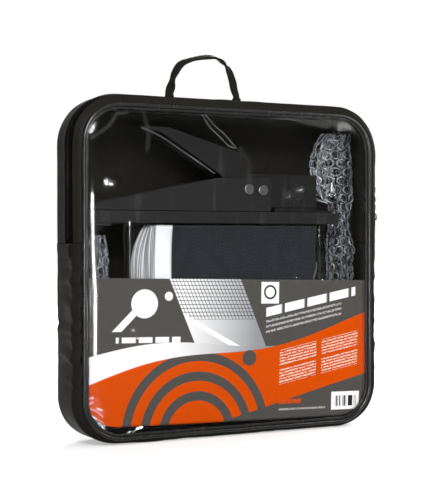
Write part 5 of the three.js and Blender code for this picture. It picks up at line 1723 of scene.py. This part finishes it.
# ---------------------------------------------------------------- net clamps
@dataclass
class NetClamp:
    """The finishes of one clamp's pieces, whose shapes are the frame's own."""

    letter: str

    def build(self) -> None:
        """Coats the sheet steel, moulds the plastic and plates the small steel pieces."""
        for name, finish, bevel in (
            ("rail", BLACK_PAINT, 0.45), ("bracket", BLACK_PAINT, 0.45), ("clip_lever", LEVER_PAINT, 0.45),
            ("post_tube", BLACK_PAINT, 0.2), ("post_base", BLACK_PLASTIC, 0.5),
            ("post_cap", BLACK_PLASTIC, 0.4), ("height_knob", BLACK_PLASTIC, 0.35),
            ("upper_jaw_pad", PAD_RUBBER, 0.4), ("lower_jaw_pad", PAD_RUBBER, 0.4),
            ("pivot_pin", DARK_STEEL, 0.35), ("stop_pin", DARK_STEEL, 0.35),
            ("post_screw", BRIGHT_STEEL, 0.25), ("net_hook", BRIGHT_STEEL, 0.3),
        ):
            dress_node(f"{name}_{self.letter}", finish, bevel * MM)
        self.build_spring()
        LOG.info("clamp %s dressed", self.letter)

    def build_spring(self) -> None:
        """The torsion spring: the frame's wire made round.
        """
        node = f"clip_spring_{self.letter}"
        spring = wire_copy(f"{node}_wire", frame["nodes"][node], BRIGHT_STEEL)
        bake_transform(spring)
        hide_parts(node)


# ---------------------------------------------------------------- studio
@dataclass(frozen=True)
class SoftBox:
    """A square lamp that faces a place: where it stands, its size and its radiance."""

    name: str
    place: tuple[float, float, float]
    width: float
    height: float
    radiance: float
    aim: tuple[float, float, float] = (0.0, 0.0, 0.14)
    only_glints: bool = False            # shows in gloss, and adds no plain light

    def build(self) -> None:
        """The lamp: power is radiance times pi times area."""
        lamp = bpy.data.lights.new(self.name, "AREA")
        lamp.shape, lamp.size, lamp.size_y = "RECTANGLE", self.width, self.height
        lamp.energy = self.radiance * math.pi * self.width * self.height
        piece = linked(self.name, lamp)
        piece.location = self.place
        way = np.array(self.aim) - np.array(self.place)
        yaw = math.atan2(way[0], way[1])
        pitch = math.asin(way[2] / np.linalg.norm(way))
        piece.rotation_euler = Euler((math.pi / 2 + pitch, 0, -yaw))
        piece.visible_camera = False
        piece.visible_diffuse = not self.only_glints


@dataclass(frozen=True)
class Studio:
    """Pale floor, plain light and the camera at the photograph's angle."""

    camera_place: tuple[float, float, float] = EYE_PLACE
    yaw: float = math.radians(26.780)
    pitch: float = math.radians(-0.421)
    roll: float = math.radians(-0.057)
    lens: float = 86.3
    ambient: float = 0.36

    def build_camera(self) -> None:
        """The camera: level but for a slight drop, turned to the right onto the case."""
        camera = bpy.data.cameras.new("camera")
        camera.lens, camera.sensor_width = self.lens, 36.0
        piece = linked("camera", camera)
        piece.location = self.camera_place
        turn = Euler((math.pi / 2 + self.pitch, 0, -self.yaw)).to_matrix()
        piece.rotation_euler = (turn @ Euler((0, 0, self.roll)).to_matrix()).to_euler()
        bpy.context.scene.camera = piece

    def build_world(self) -> None:
        """Plain grey light on the object, and white where the camera and reflections see past the floor."""
        world = bpy.data.worlds.new("studio")
        bpy.context.scene.world = world
        world.use_nodes = True
        graph = Graph(world.node_tree)
        background = world.node_tree.nodes["Background"]
        level = graph.math("MULTIPLY_ADD", self.seen_directly(graph), 1.0 - self.ambient, self.ambient)
        graph.feed(background, Color=(1, 1, 1, 1), Strength=level)

    @staticmethod
    def seen_directly(graph: Graph) -> Socket:
        """One for rays from the camera, and for reflected and refracted ones, which show the background."""
        path = graph.add("ShaderNodeLightPath")
        bounced = graph.math("ADD", path.outputs["Is Glossy Ray"], path.outputs["Is Transmission Ray"])
        return graph.math("MINIMUM", graph.math("ADD", path.outputs["Is Camera Ray"], bounced), 1.0)

    def build_floor(self) -> None:
        """A round pale floor that keeps the object's shadow."""
        material = bpy.data.materials.new("pale_floor")
        material.use_nodes = True
        graph = Graph(material.node_tree)
        shader = material.node_tree.nodes["Principled BSDF"]
        far = graph.remap(graph.measure("LENGTH", graph.placed()), 0.12, 0.55, 0.42, 1.0)
        graph.feed(shader, Base_Color=(0.62, 0.62, 0.62, 1), Roughness=0.9, Specular_IOR_Level=0.1,
                   Emission_Color=(1, 1, 1, 1),
                   Emission_Strength=graph.math("MULTIPLY", self.seen_directly(graph), far))
        radius, angle = np.meshgrid(np.linspace(0, 6, 13), np.linspace(0, 2 * np.pi, 65), indexing="ij")
        points = np.stack([radius * np.cos(angle), radius * np.sin(angle), 0 * radius], -1)
        floor = surface("floor", points, material, close_columns=True)
        merge_doubles(floor)

    def build(self) -> None:
        """Makes the camera, world, floor and lamps, and sets the plain view transform."""
        self.build_camera()
        self.build_world()
        self.build_floor()
        for lamp in (
            SoftBox("glint_strip", STRIP_PLACE, 0.045, 0.218, 250.0, (-0.126, 0.0, STRIP_PLACE[2]), True),
            SoftBox("glint_panel", PANEL_PLACE, 0.14, 0.14, 220.0, (-0.1, 0.0, 0.15), True),
            SoftBox("glint_right", (1.05, -1.05, 0.85), 0.26, 0.26, 28.0, (0.0, 0.0, 0.25), True),
            SoftBox("front_box", (-0.75, -1.5, 1.25), 0.7, 0.5, 24.0),
            SoftBox("right_box", (1.05, -1.05, 0.85), 0.5, 0.5, 7.0),
            SoftBox("left_box", (-1.5, -0.45, 0.6), 0.3, 0.8, 1.6),
            SoftBox("top_box", (0.0, -0.9, 1.35), 0.9, 0.7, 1.0),
            SoftBox("side_box", (1.5, 0.35, 0.7), 0.5, 0.9, 8.0),
            SoftBox("back_box", (0.9, 1.5, 1.0), 0.9, 0.9, 15.0),
        ):
            lamp.build()
        bpy.context.scene.view_settings.view_transform = "Standard"
        LOG.info("studio built")


def main() -> None:
    """Builds the studio, the case, its contents and the clamps, in that order."""
    logging.basicConfig(level=logging.INFO, format="%(message)s")
    Studio().build()
    case = SoftCase()
    case.build()
    CaseZip(case).build()
    CarryHandle(case).build()
    Card(case).build()
    FoldedNet().build()
    BubbleWrap("bubble_wrap_left", 131).build()
    BubbleWrap("bubble_wrap_right", 151).build()
    for letter in "ab":
        NetClamp(letter).build()


if __name__ == "__main__":
    main()
